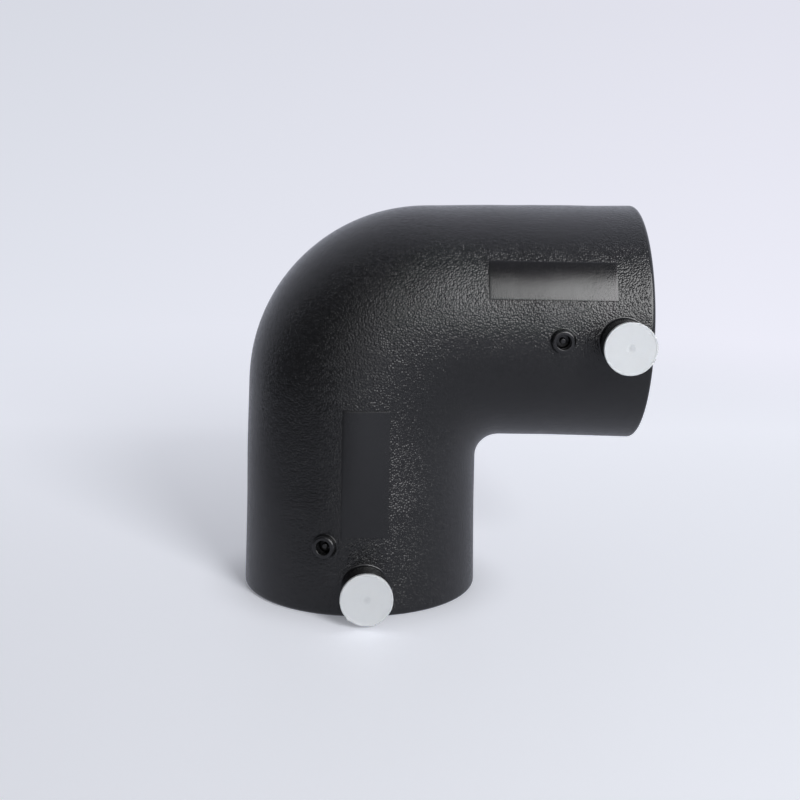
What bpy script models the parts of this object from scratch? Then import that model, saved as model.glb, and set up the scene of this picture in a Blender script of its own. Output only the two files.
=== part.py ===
"""Ninety-degree electrofusion elbow for a 75 mm polyethylene pipe.

One thick black moulding turns a pipe through a right angle. Each end is a socket with a heating coil
wound in its bore, a terminal collar with a pin for the welding lead, and a small well whose pin rises
when the joint is fused. A white cap closes each collar until the elbow is used.

The model is drawn in the elbow's own frame: the lower arm's axis is the Z axis, its mouth is at z = 0,
the upper arm's axis runs along +X and the front of the elbow faces -Y. An empty then carries everything
to the middle of the base.
"""

import math

import bmesh
import bpy
import numpy as np

# The pipe, and how the sockets take it
PIPE_R = 0.0375
PIPE_CLEARANCE = 0.0003
SOCKET_WALL = 0.0097
PIPE_STOP_WIDTH = 0.0055
CORNER_WALL = 0.0098
MOUTH_CHAMFER = 0.0015
MOUTH_ROUND = 0.0017
MOUTH_FLARE = 0.00065
FLARE_LENGTH = 0.038

# The bend
AXIS_TO_MOUTH = 0.1112
NECK_STEP = 0.0007
NECK_TAPER = 0.0165
INNER_FILLET = 0.0099
OUTER_ARC = 0.0733
PASSAGE_FILLET = 0.014

# The heating coil in each socket, and the groove it lies in
WIRE_R = 0.00045
WIRE_BELOW_BORE = 0.0001
COIL_PITCH = 0.0064
COIL_TURNS = 5
COIL_LEAD_STEPS = 7
LINK_BEND_R = 0.045
LINK_CORNER_R = 0.003

# Gap between two solids that touch
FIT_GAP = 0.0003

# Terminals: the collar, its pin and its cap. They stand square to the arm, and their faces are measured
# outward from the arm's axis
COLLAR_R = 0.0088
COLLAR_ROOT_R = 0.0091
COLLAR_EDGE = 0.0005
COLLAR_BORE_R = 0.0062
COLLAR_SINK = 0.0015
PIN_R = 0.0020
PIN_CHAMFER = 0.0007
PIN_FLANGE_R = 0.0034
PIN_FLANGE_T = 0.0012
PIN_FOOT_R = 0.0013
PIN_BELOW_COLLAR = 0.0024
CAP_FACE = 0.0612
CAP_R = 0.0101
CAP_DISC_T = 0.0016
CAP_BEAD_W = 0.0007
CAP_BEAD_H = 0.0003
CAP_GATE_R = 0.0010
CAP_GATE_DEPTH = 0.00015
CAP_PLUG_LENGTH = 0.0060
CAP_PLUG_WALL = 0.0011

# Fusion indicators: a boss round a blind hole, with a loose pin whose thin tip shows in the hole
WELL_BASE_R = 0.0048
WELL_TOP_R = 0.0044
WELL_RISE = 0.0023
WELL_ROUND = 0.0009
WELL_HOLE_R = 0.0028
WELL_HOLE_DEPTH = 0.0075
INDICATOR_TIP_R = 0.0015
INDICATOR_TIP_LENGTH = 0.0030
INDICATOR_BELOW_RIM = 0.0016
INDICATOR_CHAMFER = 0.0005

# Plain raised panels where a moulding carries its size
PANEL_LENGTH = 0.0492
PANEL_RISE = 0.0004

# Places on each arm. Distances run from that arm's mouth. A turn is in degrees round the arm's axis, from
# straight forward towards the inside of the bend, and a panel's side is how far its middle lies that way.
PLACES = {
    "lower": {
        "terminal": 0.0115,
        "terminal_turn": 2.6,
        "well": 0.0275,
        "well_turn": -16.6,
        "panel": 0.0314,
        "panel_side": 0.0018,
        "panel_width": 0.0181,
    },
    "upper": {
        "terminal": 0.0121,
        "terminal_turn": 3.2,
        "well": 0.0352,
        "well_turn": 3.2,
        "panel": 0.0143,
        "panel_side": -0.0199,
        "panel_width": 0.0143,
    },
}

# Facets
SKIN_SEGMENTS = 48
BORE_SEGMENTS = 24
BEND_STEPS = 12
TAPER_STEPS = 3
ROUND_STEPS = 2
BOSS_SEGMENTS = 24
PIN_SEGMENTS = 16
WIRE_BEVEL_RESOLUTION = 1
FLAT_ANGLE = math.radians(0.05)
SHARP_ANGLE = math.radians(30)

# Sizes that follow
BORE_R = PIPE_R + PIPE_CLEARANCE
ARM_R = BORE_R + SOCKET_WALL
NECK_R = ARM_R - NECK_STEP
STRAIGHT = AXIS_TO_MOUTH - NECK_R - INNER_FILLET
PASSAGE_R = PIPE_R - PIPE_STOP_WIDTH
PASSAGE_ARC = OUTER_ARC - (NECK_R - PASSAGE_R)
SOCKET_DEPTH = AXIS_TO_MOUTH - BORE_R - CORNER_WALL
WIRE_CENTRE_R = BORE_R + WIRE_BELOW_BORE + WIRE_R
WIRE_SIDES = 2 * WIRE_BEVEL_RESOLUTION + 4
GROOVE_R = WIRE_R + FIT_GAP / math.cos(math.pi / WIRE_SIDES)
COLLAR_TOP = CAP_FACE - CAP_DISC_T - FIT_GAP
CUT_PAST = 0.004
WELD = 0.000005

PARTS = "electrofusion_elbow"
CUTTERS = "elbow_cutters"


def clear_scene():
    for thing in list(bpy.data.objects):
        bpy.data.objects.remove(thing, do_unlink=True)


def collection(name):
    group = bpy.data.collections.new(name)
    bpy.context.scene.collection.children.link(group)
    return group


def material(name, colour, roughness, metallic):
    finish = bpy.data.materials.new(name)
    finish.use_nodes = True
    shader = finish.node_tree.nodes["Principled BSDF"]
    shader.inputs["Base Color"].default_value = (*colour, 1.0)
    shader.inputs["Roughness"].default_value = roughness
    shader.inputs["Metallic"].default_value = metallic
    return finish


def add_object(name, mesh, group, frame, location=(0, 0, 0), rotation=(0, 0, 0)):
    thing = bpy.data.objects.new(name, mesh)
    thing.location = location
    thing.rotation_euler = rotation
    thing.parent = frame
    group.objects.link(thing)
    if group.name == CUTTERS:
        thing.hide_render = True
        thing.display_type = "WIRE"
    return thing


def mirror_point(x, z):
    """The elbow is the same on both sides of its 45 degree plane: swaps a place on one arm for the other's."""
    return AXIS_TO_MOUTH - z, AXIS_TO_MOUTH - x


def arm_radius(from_mouth):
    """The arm is widest at its mouth, narrows evenly over the flare, and narrows again where the bend begins."""
    flare = MOUTH_FLARE * max(0.0, 1 - from_mouth / FLARE_LENGTH)
    share = min(max((from_mouth - STRAIGHT) / NECK_TAPER + 1, 0.0), 1.0)
    return ARM_R + flare - NECK_STEP * share**2 * (3 - 2 * share)


def terminal_turn(arm):
    return math.radians(PLACES[arm]["terminal_turn"])


def well_turn(arm):
    return math.radians(PLACES[arm]["well_turn"])


def base_centre():
    """The middle of the base of the box that holds the whole part, as (x, y) in the elbow's own frame."""
    widest = arm_radius(MOUTH_ROUND)
    turns = [terminal_turn(arm) for arm in PLACES]
    front = max(CAP_FACE * math.cos(turn) + CAP_R * math.sin(turn) for turn in turns)
    return (AXIS_TO_MOUTH - widest) / 2, (widest - front) / 2


def bend_reach(turn, arm_r, fillet, arc):
    """Distance from the inner fillet's centre to the outer wall, at a turn of 0 to 90 degrees.

    The outer wall is two straight lines joined by an arc, seen from the fillet's centre.
    """
    across = 2 * arm_r + fillet
    corner = across - arc
    along, up = math.cos(turn), math.sin(turn)
    if across / max(along, 1e-9) * up <= corner:
        return across / along
    if across / max(up, 1e-9) * along <= corner:
        return across / up
    middle = corner * (along + up)
    return middle + math.sqrt(middle**2 - 2 * corner**2 + arc**2)


def bend_sections(arm_r, fillet, arc):
    """Sections of the bend, each as (centre, inward direction, half width in the plane, half depth)."""
    pivot_x, pivot_z = arm_r + fillet, AXIS_TO_MOUTH - arm_r - fillet
    sections = []
    for step in range(BEND_STEPS + 1):
        turn = math.pi / 2 * step / BEND_STEPS
        reach = bend_reach(turn, arm_r, fillet, arc)
        middle, half = (reach + fillet) / 2, (reach - fillet) / 2
        centre = pivot_x - middle * math.cos(turn), pivot_z + middle * math.sin(turn)
        sections.append((centre, (math.cos(turn), -math.sin(turn)), half, arm_r))
    return sections


def mirrored(sections):
    """The same sections on the other arm, in the order that carries on round the bend."""
    return [
        (mirror_point(*centre), (-inward[1], -inward[0]), half, depth)
        for centre, inward, half, depth in reversed(sections)
    ]


def arm_sections(grow):
    """Sections of the lower arm from its rounded mouth edge to the bend."""
    stations = []
    for step in range(ROUND_STEPS + 1):
        turn = math.pi / 2 * step / ROUND_STEPS
        z = MOUTH_ROUND * (1 - math.cos(turn))
        stations.append((z, arm_radius(MOUTH_ROUND) - MOUTH_ROUND * (1 - math.sin(turn))))
    for step in range(TAPER_STEPS):
        z = FLARE_LENGTH + (STRAIGHT - FLARE_LENGTH) * step / TAPER_STEPS
        stations.append((z, arm_radius(z)))
    return [((0, z), (1, 0), radius + grow, radius + grow) for z, radius in stations]


def loft(name, sections, segments, group, frame):
    """A closed skin through a row of elliptical sections."""
    shape = bmesh.new()
    rings = []
    for (x, z), (inward_x, inward_z), half, depth in sections:
        ring = []
        for step in range(segments):
            turn = 2 * math.pi * step / segments
            across = half * math.cos(turn)
            ring.append(shape.verts.new((x + across * inward_x, depth * math.sin(turn), z + across * inward_z)))
        rings.append(ring)
    for near, far in zip(rings, rings[1:]):
        for step in range(segments):
            after = (step + 1) % segments
            shape.faces.new((near[step], near[after], far[after], far[step]))
    shape.faces.new(rings[0])
    shape.faces.new(rings[-1])
    bmesh.ops.recalc_face_normals(shape, faces=shape.faces)
    bmesh.ops.triangulate(shape, faces=shape.faces)
    mesh = bpy.data.meshes.new(name)
    shape.to_mesh(mesh)
    shape.free()
    return add_object(name, mesh, group, frame)


def elbow_skin(name, grow, group, frame):
    """The outside of the moulding, or with grow the same skin standing proud of it."""
    arm = arm_sections(grow)
    bend = bend_sections(NECK_R + grow, INNER_FILLET - grow, OUTER_ARC + grow)
    return loft(name, arm + bend + mirrored(arm), SKIN_SEGMENTS, group, frame)


def passage(group, frame):
    """The way through between the two pipe stops."""
    lead = ((0, AXIS_TO_MOUTH - PASSAGE_R - PASSAGE_FILLET - CUT_PAST), (1, 0), PASSAGE_R, PASSAGE_R)
    bend = bend_sections(PASSAGE_R, PASSAGE_FILLET, PASSAGE_ARC)
    return loft("cut_passage", [lead] + bend + mirrored([lead]), BORE_SEGMENTS, group, frame)


def turned(name, profile, segments, group, frame, location=(0, 0, 0), rotation=(0, 0, 0)):
    """A solid of revolution about its own Z axis, from (radius, height) points listed top to bottom."""
    mesh = bpy.data.meshes.new(name)
    edges = [(step, step + 1) for step in range(len(profile) - 1)]
    mesh.from_pydata([(radius, 0, height) for radius, height in profile], edges, [])
    thing = add_object(name, mesh, group, frame, location, rotation)
    screw = thing.modifiers.new("turn", "SCREW")
    screw.axis = "Z"
    screw.angle = 2 * math.pi
    screw.steps = segments
    screw.render_steps = segments
    screw.use_merge_vertices = True
    screw.merge_threshold = WELD
    screw.use_smooth_shade = True
    return thing


def outward_turned(name, profile, segments, group, frame, arm, from_mouth, turn):
    """A turned piece that stands square to an arm, with its heights measured outward from the arm's axis."""
    if arm == "lower":
        place, tilt = (0, 0, from_mouth), (math.pi / 2, 0, turn)
    else:
        place, tilt = (AXIS_TO_MOUTH - from_mouth, 0, AXIS_TO_MOUTH), (math.pi / 2 + turn, 0, 0)
    return turned(name, profile, segments, group, frame, place, tilt)


def box(name, low, high, group, frame):
    shape = bmesh.new()
    bmesh.ops.create_cube(shape, size=1.0)
    low, high = np.array(low), np.array(high)
    for corner in shape.verts:
        corner.co = (low + high) / 2 + np.array(corner.co) * (high - low)
    mesh = bpy.data.meshes.new(name)
    shape.to_mesh(mesh)
    shape.free()
    return add_object(name, mesh, group, frame)


def boolean(target, other, operation):
    """Joins, cuts or intersects, with every face made flat triangles first so that the cut stays closed."""
    target.modifiers.new("facets_before_" + other.name, "TRIANGULATE")
    step = target.modifiers.new(other.name, "BOOLEAN")
    step.operation = operation
    step.solver = "EXACT"
    step.object = other


def wire_start(arm):
    """The coil starts this far from the mouth, so that it passes exactly under the terminal's pin."""
    place = PLACES[arm]
    step = 2 * math.pi / BORE_SEGMENTS
    lead_turn = COIL_LEAD_STEPS * step - math.pi / 2
    return place["terminal"] - COIL_PITCH * (terminal_turn(arm) + lead_turn) / (2 * math.pi)


def coil_path(arm):
    """One socket's winding, from its start by the terminal to the run that leaves for the bend.

    The winding climbs evenly while it turns, with a point on every corner of the bore. At the back it
    turns through a quarter circle, laid on the bore's wall, to run along the arm.
    """
    step = 2 * math.pi / BORE_SEGMENTS
    first = -COIL_LEAD_STEPS
    last = BORE_SEGMENTS // 4 + COIL_TURNS * BORE_SEGMENTS - 1
    counts = np.arange(first, last + 1)
    turns = counts * step
    heights = wire_start(arm) + COIL_PITCH * (counts - first) / BORE_SEGMENTS
    quarter = np.linspace(0, math.pi / 2, 5)[1:]
    corner_turn = math.pi / 2 - LINK_CORNER_R / WIRE_CENTRE_R
    turns = np.r_[turns, corner_turn + LINK_CORNER_R / WIRE_CENTRE_R * np.sin(quarter)]
    heights = np.r_[heights, heights[-1] + LINK_CORNER_R * (1 - np.cos(quarter))]
    points = np.c_[WIRE_CENTRE_R * np.cos(turns), WIRE_CENTRE_R * np.sin(turns), heights]
    if arm == "upper":
        points[:, 0], points[:, 2] = mirror_point(points[:, 0].copy(), points[:, 2].copy())
    return points


def wire_path(past=0.0):
    """The whole wire: the lower winding, a link through the wall of the bend and the upper winding.

    With past, both ends run on by that much, which is how the groove clears the wire's ends.
    """
    turns = np.linspace(0, math.pi / 2, BEND_STEPS + 1)
    link = np.c_[
        LINK_BEND_R * (1 - np.cos(turns)),
        np.full(len(turns), WIRE_CENTRE_R),
        AXIS_TO_MOUTH - LINK_BEND_R * (1 - np.sin(turns)),
    ]
    path = np.r_[coil_path("lower"), link, coil_path("upper")[::-1]]
    if past:
        for end, inner in ((0, 1), (-1, -2)):
            outward = path[end] - path[inner]
            path[end] += outward / np.linalg.norm(outward) * past
    return path


def tube(name, path, radius, group, frame):
    """A round wire along a path, made a closed mesh."""
    curve = bpy.data.curves.new(name, "CURVE")
    curve.dimensions = "3D"
    curve.bevel_depth = radius
    curve.bevel_resolution = WIRE_BEVEL_RESOLUTION
    curve.use_fill_caps = True
    spline = curve.splines.new("POLY")
    spline.points.add(len(path) - 1)
    spline.points.foreach_set("co", np.c_[path, np.ones(len(path))].ravel())
    guide = add_object(name + "_guide", curve, group, frame)
    bpy.context.view_layer.update()
    mesh = bpy.data.meshes.new_from_object(guide.evaluated_get(bpy.context.evaluated_depsgraph_get()))
    bpy.data.objects.remove(guide, do_unlink=True)
    shape = bmesh.new()
    shape.from_mesh(mesh)
    bmesh.ops.remove_doubles(shape, verts=shape.verts, dist=WELD)
    bmesh.ops.recalc_face_normals(shape, faces=shape.faces)
    bmesh.ops.triangulate(shape, faces=shape.faces)
    shape.to_mesh(mesh)
    shape.free()
    mesh.name = name
    return add_object(name, mesh, group, frame)


def socket_cutter(arm, group, frame):
    """The bore that takes the pipe, with the chamfer at its mouth, as deep as the pipe stop."""
    profile = [
        (0, SOCKET_DEPTH),
        (BORE_R, SOCKET_DEPTH),
        (BORE_R, MOUTH_CHAMFER),
        (BORE_R + MOUTH_CHAMFER + CUT_PAST, -CUT_PAST),
        (0, -CUT_PAST),
    ]
    if arm == "lower":
        return turned("cut_socket_lower", profile, BORE_SEGMENTS, group, frame)
    place = AXIS_TO_MOUTH, 0, AXIS_TO_MOUTH
    return turned("cut_socket_upper", profile, BORE_SEGMENTS, group, frame, place, (0, -math.pi / 2, 0))


def panel(arm, group, frame):
    """A raised panel that follows the arm: the part of a slightly larger skin inside a box."""
    place = PLACES[arm]
    low_side = place["panel_side"] - place["panel_width"] / 2
    high_side = place["panel_side"] + place["panel_width"] / 2
    corners = [
        (low_side, -ARM_R - CUT_PAST, place["panel"]),
        (high_side, -PASSAGE_R, place["panel"] + PANEL_LENGTH),
    ]
    if arm == "upper":
        corners = [(mirror_point(x, z)[0], y, mirror_point(x, z)[1]) for x, y, z in corners]
    skin = elbow_skin("panel_" + arm, PANEL_RISE, group, frame)
    cut = box("panel_outline_" + arm, np.min(corners, axis=0), np.max(corners, axis=0), group, frame)
    boolean(skin, cut, "INTERSECT")
    return skin


def collar(arm, group, frame):
    """The round collar that stands out round a terminal, a little wider at its root."""
    place = PLACES[arm]
    profile = [
        (0, COLLAR_TOP),
        (COLLAR_R - COLLAR_EDGE, COLLAR_TOP),
        (COLLAR_R, COLLAR_TOP - COLLAR_EDGE),
        (COLLAR_ROOT_R, arm_radius(place["terminal"])),
        (COLLAR_ROOT_R, BORE_R + SOCKET_WALL / 2),
        (0, BORE_R + SOCKET_WALL / 2),
    ]
    spot = arm, place["terminal"], terminal_turn(arm)
    return outward_turned("collar_" + arm, profile, BOSS_SEGMENTS, group, frame, *spot)


def pin_levels(arm):
    """Distances out from the arm's axis: the wire under the pin, the collar's floor and the pin's tip."""
    floor = arm_radius(PLACES[arm]["terminal"]) - COLLAR_SINK
    return WIRE_CENTRE_R + WIRE_R, floor, COLLAR_TOP - PIN_BELOW_COLLAR


def collar_bore(arm, group, frame):
    """The collar's bore down to its floor, and the narrow hole from there to the wire's groove."""
    wire, floor, _ = pin_levels(arm)
    profile = [
        (0, COLLAR_TOP + CUT_PAST),
        (COLLAR_BORE_R, COLLAR_TOP + CUT_PAST),
        (COLLAR_BORE_R, floor),
        (PIN_FOOT_R + FIT_GAP, floor),
        (PIN_FOOT_R + FIT_GAP, wire),
        (0, wire),
    ]
    spot = arm, PLACES[arm]["terminal"], terminal_turn(arm)
    return outward_turned("cut_collar_" + arm, profile, PIN_SEGMENTS, group, frame, *spot)


def terminal_pin(arm, group, frame):
    """The pin that the welding lead pushes onto, with a flange on the collar's floor and a foot on the wire."""
    wire, floor, tip = pin_levels(arm)
    flange = floor + FIT_GAP
    profile = [
        (0, tip),
        (PIN_R - PIN_CHAMFER, tip),
        (PIN_R, tip - PIN_CHAMFER),
        (PIN_R, flange + PIN_FLANGE_T),
        (PIN_FLANGE_R, flange + PIN_FLANGE_T),
        (PIN_FLANGE_R, flange),
        (PIN_FOOT_R, flange),
        (PIN_FOOT_R, wire + FIT_GAP),
        (0, wire + FIT_GAP),
    ]
    spot = arm, PLACES[arm]["terminal"], terminal_turn(arm)
    return outward_turned("terminal_pin_" + arm, profile, PIN_SEGMENTS, group, frame, *spot)


def terminal_cap(arm, group, frame):
    """The push-in cap: a disc with a thin bead round its face, a gate mark and a hollow plug behind."""
    face = CAP_FACE - CAP_BEAD_H
    under = CAP_FACE - CAP_DISC_T
    plug_r = COLLAR_BORE_R - FIT_GAP
    plug_end = under - CAP_PLUG_LENGTH
    edge = CAP_BEAD_H
    profile = [
        (0, face - CAP_GATE_DEPTH),
        (CAP_GATE_R, face - CAP_GATE_DEPTH),
        (CAP_GATE_R + CAP_GATE_DEPTH, face),
        (CAP_R - edge - CAP_BEAD_W, face),
        (CAP_R - CAP_BEAD_W, CAP_FACE),
        (CAP_R - edge, CAP_FACE),
        (CAP_R, CAP_FACE - edge),
        (CAP_R, under + edge),
        (CAP_R - edge, under),
        (plug_r, under),
        (plug_r, plug_end + edge),
        (plug_r - edge, plug_end),
        (plug_r - CAP_PLUG_WALL, plug_end),
        (plug_r - CAP_PLUG_WALL, face - CAP_DISC_T),
        (0, face - CAP_DISC_T),
    ]
    spot = arm, PLACES[arm]["terminal"], terminal_turn(arm)
    return outward_turned("terminal_cap_" + arm, profile, BOSS_SEGMENTS, group, frame, *spot)


def well_top(arm):
    return arm_radius(PLACES[arm]["well"]) + WELL_RISE


def well_boss(arm, group, frame):
    """The boss round a fusion indicator: a low cone with its top edge rounded."""
    top = well_top(arm)
    rounded = [
        (WELL_TOP_R - WELL_ROUND * (1 - math.sin(turn)), top - WELL_ROUND * (1 - math.cos(turn)))
        for turn in np.linspace(0, math.pi / 2, ROUND_STEPS + 2)
    ]
    root = BORE_R + SOCKET_WALL / 2
    profile = [(0, top)] + rounded + [(WELL_BASE_R, top - WELL_RISE), (WELL_BASE_R, root), (0, root)]
    spot = arm, PLACES[arm]["well"], well_turn(arm)
    return outward_turned("well_boss_" + arm, profile, BOSS_SEGMENTS, group, frame, *spot)


def well_hole(arm, group, frame):
    top = well_top(arm)
    profile = [
        (0, top + CUT_PAST),
        (WELL_HOLE_R, top + CUT_PAST),
        (WELL_HOLE_R, top - WELL_HOLE_DEPTH),
        (0, top - WELL_HOLE_DEPTH),
    ]
    spot = arm, PLACES[arm]["well"], well_turn(arm)
    return outward_turned("cut_well_" + arm, profile, PIN_SEGMENTS, group, frame, *spot)


def indicator_pin(arm, group, frame):
    """The pin that melt pushes up its well when the joint is fused, shown before fusion.

    A thin tip stands on a wider foot that fills the hole.
    """
    tip = well_top(arm) - INDICATOR_BELOW_RIM
    foot_r = WELL_HOLE_R - FIT_GAP
    bottom = well_top(arm) - WELL_HOLE_DEPTH + FIT_GAP
    profile = [
        (0, tip),
        (INDICATOR_TIP_R - INDICATOR_CHAMFER, tip),
        (INDICATOR_TIP_R, tip - INDICATOR_CHAMFER),
        (INDICATOR_TIP_R, tip - INDICATOR_TIP_LENGTH),
        (foot_r, tip - INDICATOR_TIP_LENGTH),
        (foot_r, bottom),
        (0, bottom),
    ]
    spot = arm, PLACES[arm]["well"], well_turn(arm)
    return outward_turned("indicator_pin_" + arm, profile, PIN_SEGMENTS, group, frame, *spot)


def elbow_body(parts, cutters, frame):
    """The one-piece moulding: the skin, what stands proud of it, and then everything cut into it."""
    body = elbow_skin("elbow_body", 0.0, parts, frame)
    for arm in PLACES:
        boolean(body, panel(arm, cutters, frame), "UNION")
        boolean(body, collar(arm, cutters, frame), "UNION")
        boolean(body, well_boss(arm, cutters, frame), "UNION")
    for arm in PLACES:
        boolean(body, socket_cutter(arm, cutters, frame), "DIFFERENCE")
    boolean(body, passage(cutters, frame), "DIFFERENCE")
    groove = tube("cut_groove", wire_path(FIT_GAP), GROOVE_R, cutters, frame)
    boolean(body, groove, "DIFFERENCE")
    for arm in PLACES:
        boolean(body, collar_bore(arm, cutters, frame), "DIFFERENCE")
        boolean(body, well_hole(arm, cutters, frame), "DIFFERENCE")
    merge = body.modifiers.new("merge_flat_facets", "DECIMATE")
    merge.decimate_type = "DISSOLVE"
    merge.angle_limit = FLAT_ANGLE
    body.data.shade_smooth()
    body.data.set_sharp_from_angle(angle=SHARP_ANGLE)
    return body


def main():
    clear_scene()
    parts, cutters = collection(PARTS), collection(CUTTERS)
    frame = bpy.data.objects.new("elbow_frame", None)
    centre_x, centre_y = base_centre()
    frame.location = (-centre_x, -centre_y, 0)
    parts.objects.link(frame)

    black = material("black_polyethylene", (0.012, 0.012, 0.014), 0.5, 0.0)
    copper = material("copper_wire", (0.80, 0.42, 0.26), 0.3, 1.0)
    brass = material("brass_pin", (0.78, 0.57, 0.22), 0.3, 1.0)
    white = material("white_cap", (0.62, 0.64, 0.67), 0.45, 0.0)

    elbow_body(parts, cutters, frame).data.materials.append(black)
    wire = tube("heating_wire", wire_path(), WIRE_R, parts, frame)
    wire.data.materials.append(copper)
    for arm in PLACES:
        terminal_pin(arm, parts, frame).data.materials.append(brass)
        terminal_cap(arm, parts, frame).data.materials.append(white)
        indicator_pin(arm, parts, frame).data.materials.append(black)


main()
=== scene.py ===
# %% [markdown]
# # A ninety-degree electrofusion elbow
# The object is a thick black polyethylene moulding that turns a pipe through a right angle. A heating wire
# lies in the bore of each socket, a collar stands out over each end of the wire, and a white cap closes each
# collar until the elbow is welded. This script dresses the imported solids: it makes the surfaces finer, gives
# them their finishes, and sets up a plain studio round them.

import bmesh
import bpy
import numpy as np
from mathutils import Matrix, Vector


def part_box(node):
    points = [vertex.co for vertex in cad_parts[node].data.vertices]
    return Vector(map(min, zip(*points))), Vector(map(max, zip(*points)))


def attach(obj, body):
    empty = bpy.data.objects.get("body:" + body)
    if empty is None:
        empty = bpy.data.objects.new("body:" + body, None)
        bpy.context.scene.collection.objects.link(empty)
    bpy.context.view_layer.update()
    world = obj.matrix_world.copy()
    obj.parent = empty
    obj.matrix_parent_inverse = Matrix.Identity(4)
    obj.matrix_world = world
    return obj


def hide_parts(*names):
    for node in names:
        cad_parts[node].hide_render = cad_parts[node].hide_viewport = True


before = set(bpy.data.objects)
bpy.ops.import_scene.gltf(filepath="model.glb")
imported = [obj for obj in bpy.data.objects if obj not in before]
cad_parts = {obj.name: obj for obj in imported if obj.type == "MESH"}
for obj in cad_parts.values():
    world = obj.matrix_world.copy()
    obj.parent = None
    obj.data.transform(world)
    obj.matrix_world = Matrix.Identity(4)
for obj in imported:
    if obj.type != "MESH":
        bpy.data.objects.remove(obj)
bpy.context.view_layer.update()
print("nodes:", sorted(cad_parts))

# %% [markdown]
# ## Sizes
# Every surface below follows the same few sizes as the solids: the pipe, the wall round it, and the way the
# two arms meet. They are in metres. A distance "from the mouth" runs along an arm from its open end, and a
# turn goes round the arm's axis from straight forward towards the inside of the bend.

# %% The sizes of the moulding
PIPE_R = 0.0375
PIPE_CLEARANCE = 0.0003
SOCKET_WALL = 0.0097
PIPE_STOP_WIDTH = 0.0055
CORNER_WALL = 0.0098
MOUTH_CHAMFER = 0.0015
MOUTH_ROUND = 0.0017
MOUTH_FLARE = 0.00065
FLARE_LENGTH = 0.038
AXIS_TO_MOUTH = 0.1112
NECK_STEP = 0.0007
NECK_TAPER = 0.0165
INNER_FILLET = 0.0099
OUTER_ARC = 0.0733
PASSAGE_FILLET = 0.014
FIT_GAP = 0.0003

BORE_R = PIPE_R + PIPE_CLEARANCE
ARM_R = BORE_R + SOCKET_WALL
NECK_R = ARM_R - NECK_STEP
STRAIGHT = AXIS_TO_MOUTH - NECK_R - INNER_FILLET
PASSAGE_R = PIPE_R - PIPE_STOP_WIDTH
PASSAGE_ARC = OUTER_ARC - (NECK_R - PASSAGE_R)
SOCKET_DEPTH = AXIS_TO_MOUTH - BORE_R - CORNER_WALL

PLACES = {
    "lower": {
        "terminal": 0.0115,
        "terminal_turn": 2.6,
        "well": 0.0275,
        "well_turn": -16.6,
        "panel": 0.0314,
        "panel_side": 0.0018,
        "panel_width": 0.0181,
    },
    "upper": {
        "terminal": 0.0121,
        "terminal_turn": 3.2,
        "well": 0.0352,
        "well_turn": 3.2,
        "panel": 0.0143,
        "panel_side": -0.0199,
        "panel_width": 0.0143,
    },
}
PANEL_LENGTH = 0.0492
PANEL_RISE = 0.0004
print("outside of an arm, mm:", round(2000 * ARM_R, 1), "straight part, mm:", round(1000 * STRAIGHT, 1))


# %% [markdown]
# ## The arm and where it stands
# The arm isn't a plain cylinder. A mould opens more easily off a slight taper, so the arm is widest at its
# mouth and narrows a little before the bend. The radius could be modelled by hand with edge loops, but as a
# formula it can be asked for at any distance, which is what lets the collars sit exactly on the surface.

# %% The radius of an arm
FLARE_EASE = 1.25


def ease(value):
    """A smooth step from 0 to 1."""
    share = np.clip(value, 0, 1)
    return share**2 * (3 - 2 * share)


def neck_share(from_mouth):
    """0 on the plain arm, 1 at the neck, and a smooth step between them."""
    return ease((from_mouth - STRAIGHT) / NECK_TAPER + 1)


def arm_radius(from_mouth):
    """Radius = the plain arm, plus a flare that fades from the mouth, minus a smooth step at the neck."""
    flare = MOUTH_FLARE * np.clip(1 - from_mouth / FLARE_LENGTH, 0.0, 1.0) ** FLARE_EASE
    return ARM_R + flare - NECK_STEP * neck_share(from_mouth)


# %% Where the elbow's own axes lie in the frame
WIDEST = float(arm_radius(np.array(MOUTH_ROUND)))
body_low, body_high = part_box("elbow_body")
SHIFT = np.array([body_low[0] + WIDEST, body_high[1] - WIDEST, 0.0])


def on_arm(arm, across, side, from_mouth):
    """A place given by its distances towards the inside of the bend, backwards, and from the arm's mouth.

    On the lower arm these are X, Y and Z. The upper arm is its mirror in the elbow's 45 degree plane.
    """
    across, side, from_mouth = np.broadcast_arrays(across, side, from_mouth)
    if arm == "lower":
        place = across, side, from_mouth
    else:
        place = AXIS_TO_MOUTH - from_mouth, side, AXIS_TO_MOUTH - across
    return np.stack(place, axis=-1) + SHIFT


print("axis of the lower arm at, mm:", (1000 * SHIFT).round(2))


# %% [markdown]
# ## From arrays to meshes
# All the new surfaces are grids of points: rows one way, columns round the other. One helper turns such a
# grid into a mesh. Building it from whole arrays is much faster than adding faces one at a time, and
# smooth shading with sharp edges kept by angle gives the look of machined mould steel.

# %% Helpers that make meshes
SHARP_ANGLE = np.radians(32)


def quads(rows, columns, close_rows=False):
    """The corners of the squares of a grid that closes round its columns, and if asked round its rows."""
    row = np.arange(rows if close_rows else rows - 1)[:, None]
    column = np.arange(columns)[None, :]
    after_row, after_column = (row + 1) % rows, (column + 1) % columns
    corners = (row, column), (row, after_column), (after_row, after_column), (after_row, column)
    return np.stack([r * columns + c for r, c in corners], axis=-1).reshape(-1, 4)


def linked(name, data):
    """A new object in the scene that holds a mesh, a lamp or a camera."""
    thing = bpy.data.objects.new(name, data)
    bpy.context.scene.collection.objects.link(thing)
    return thing


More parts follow.
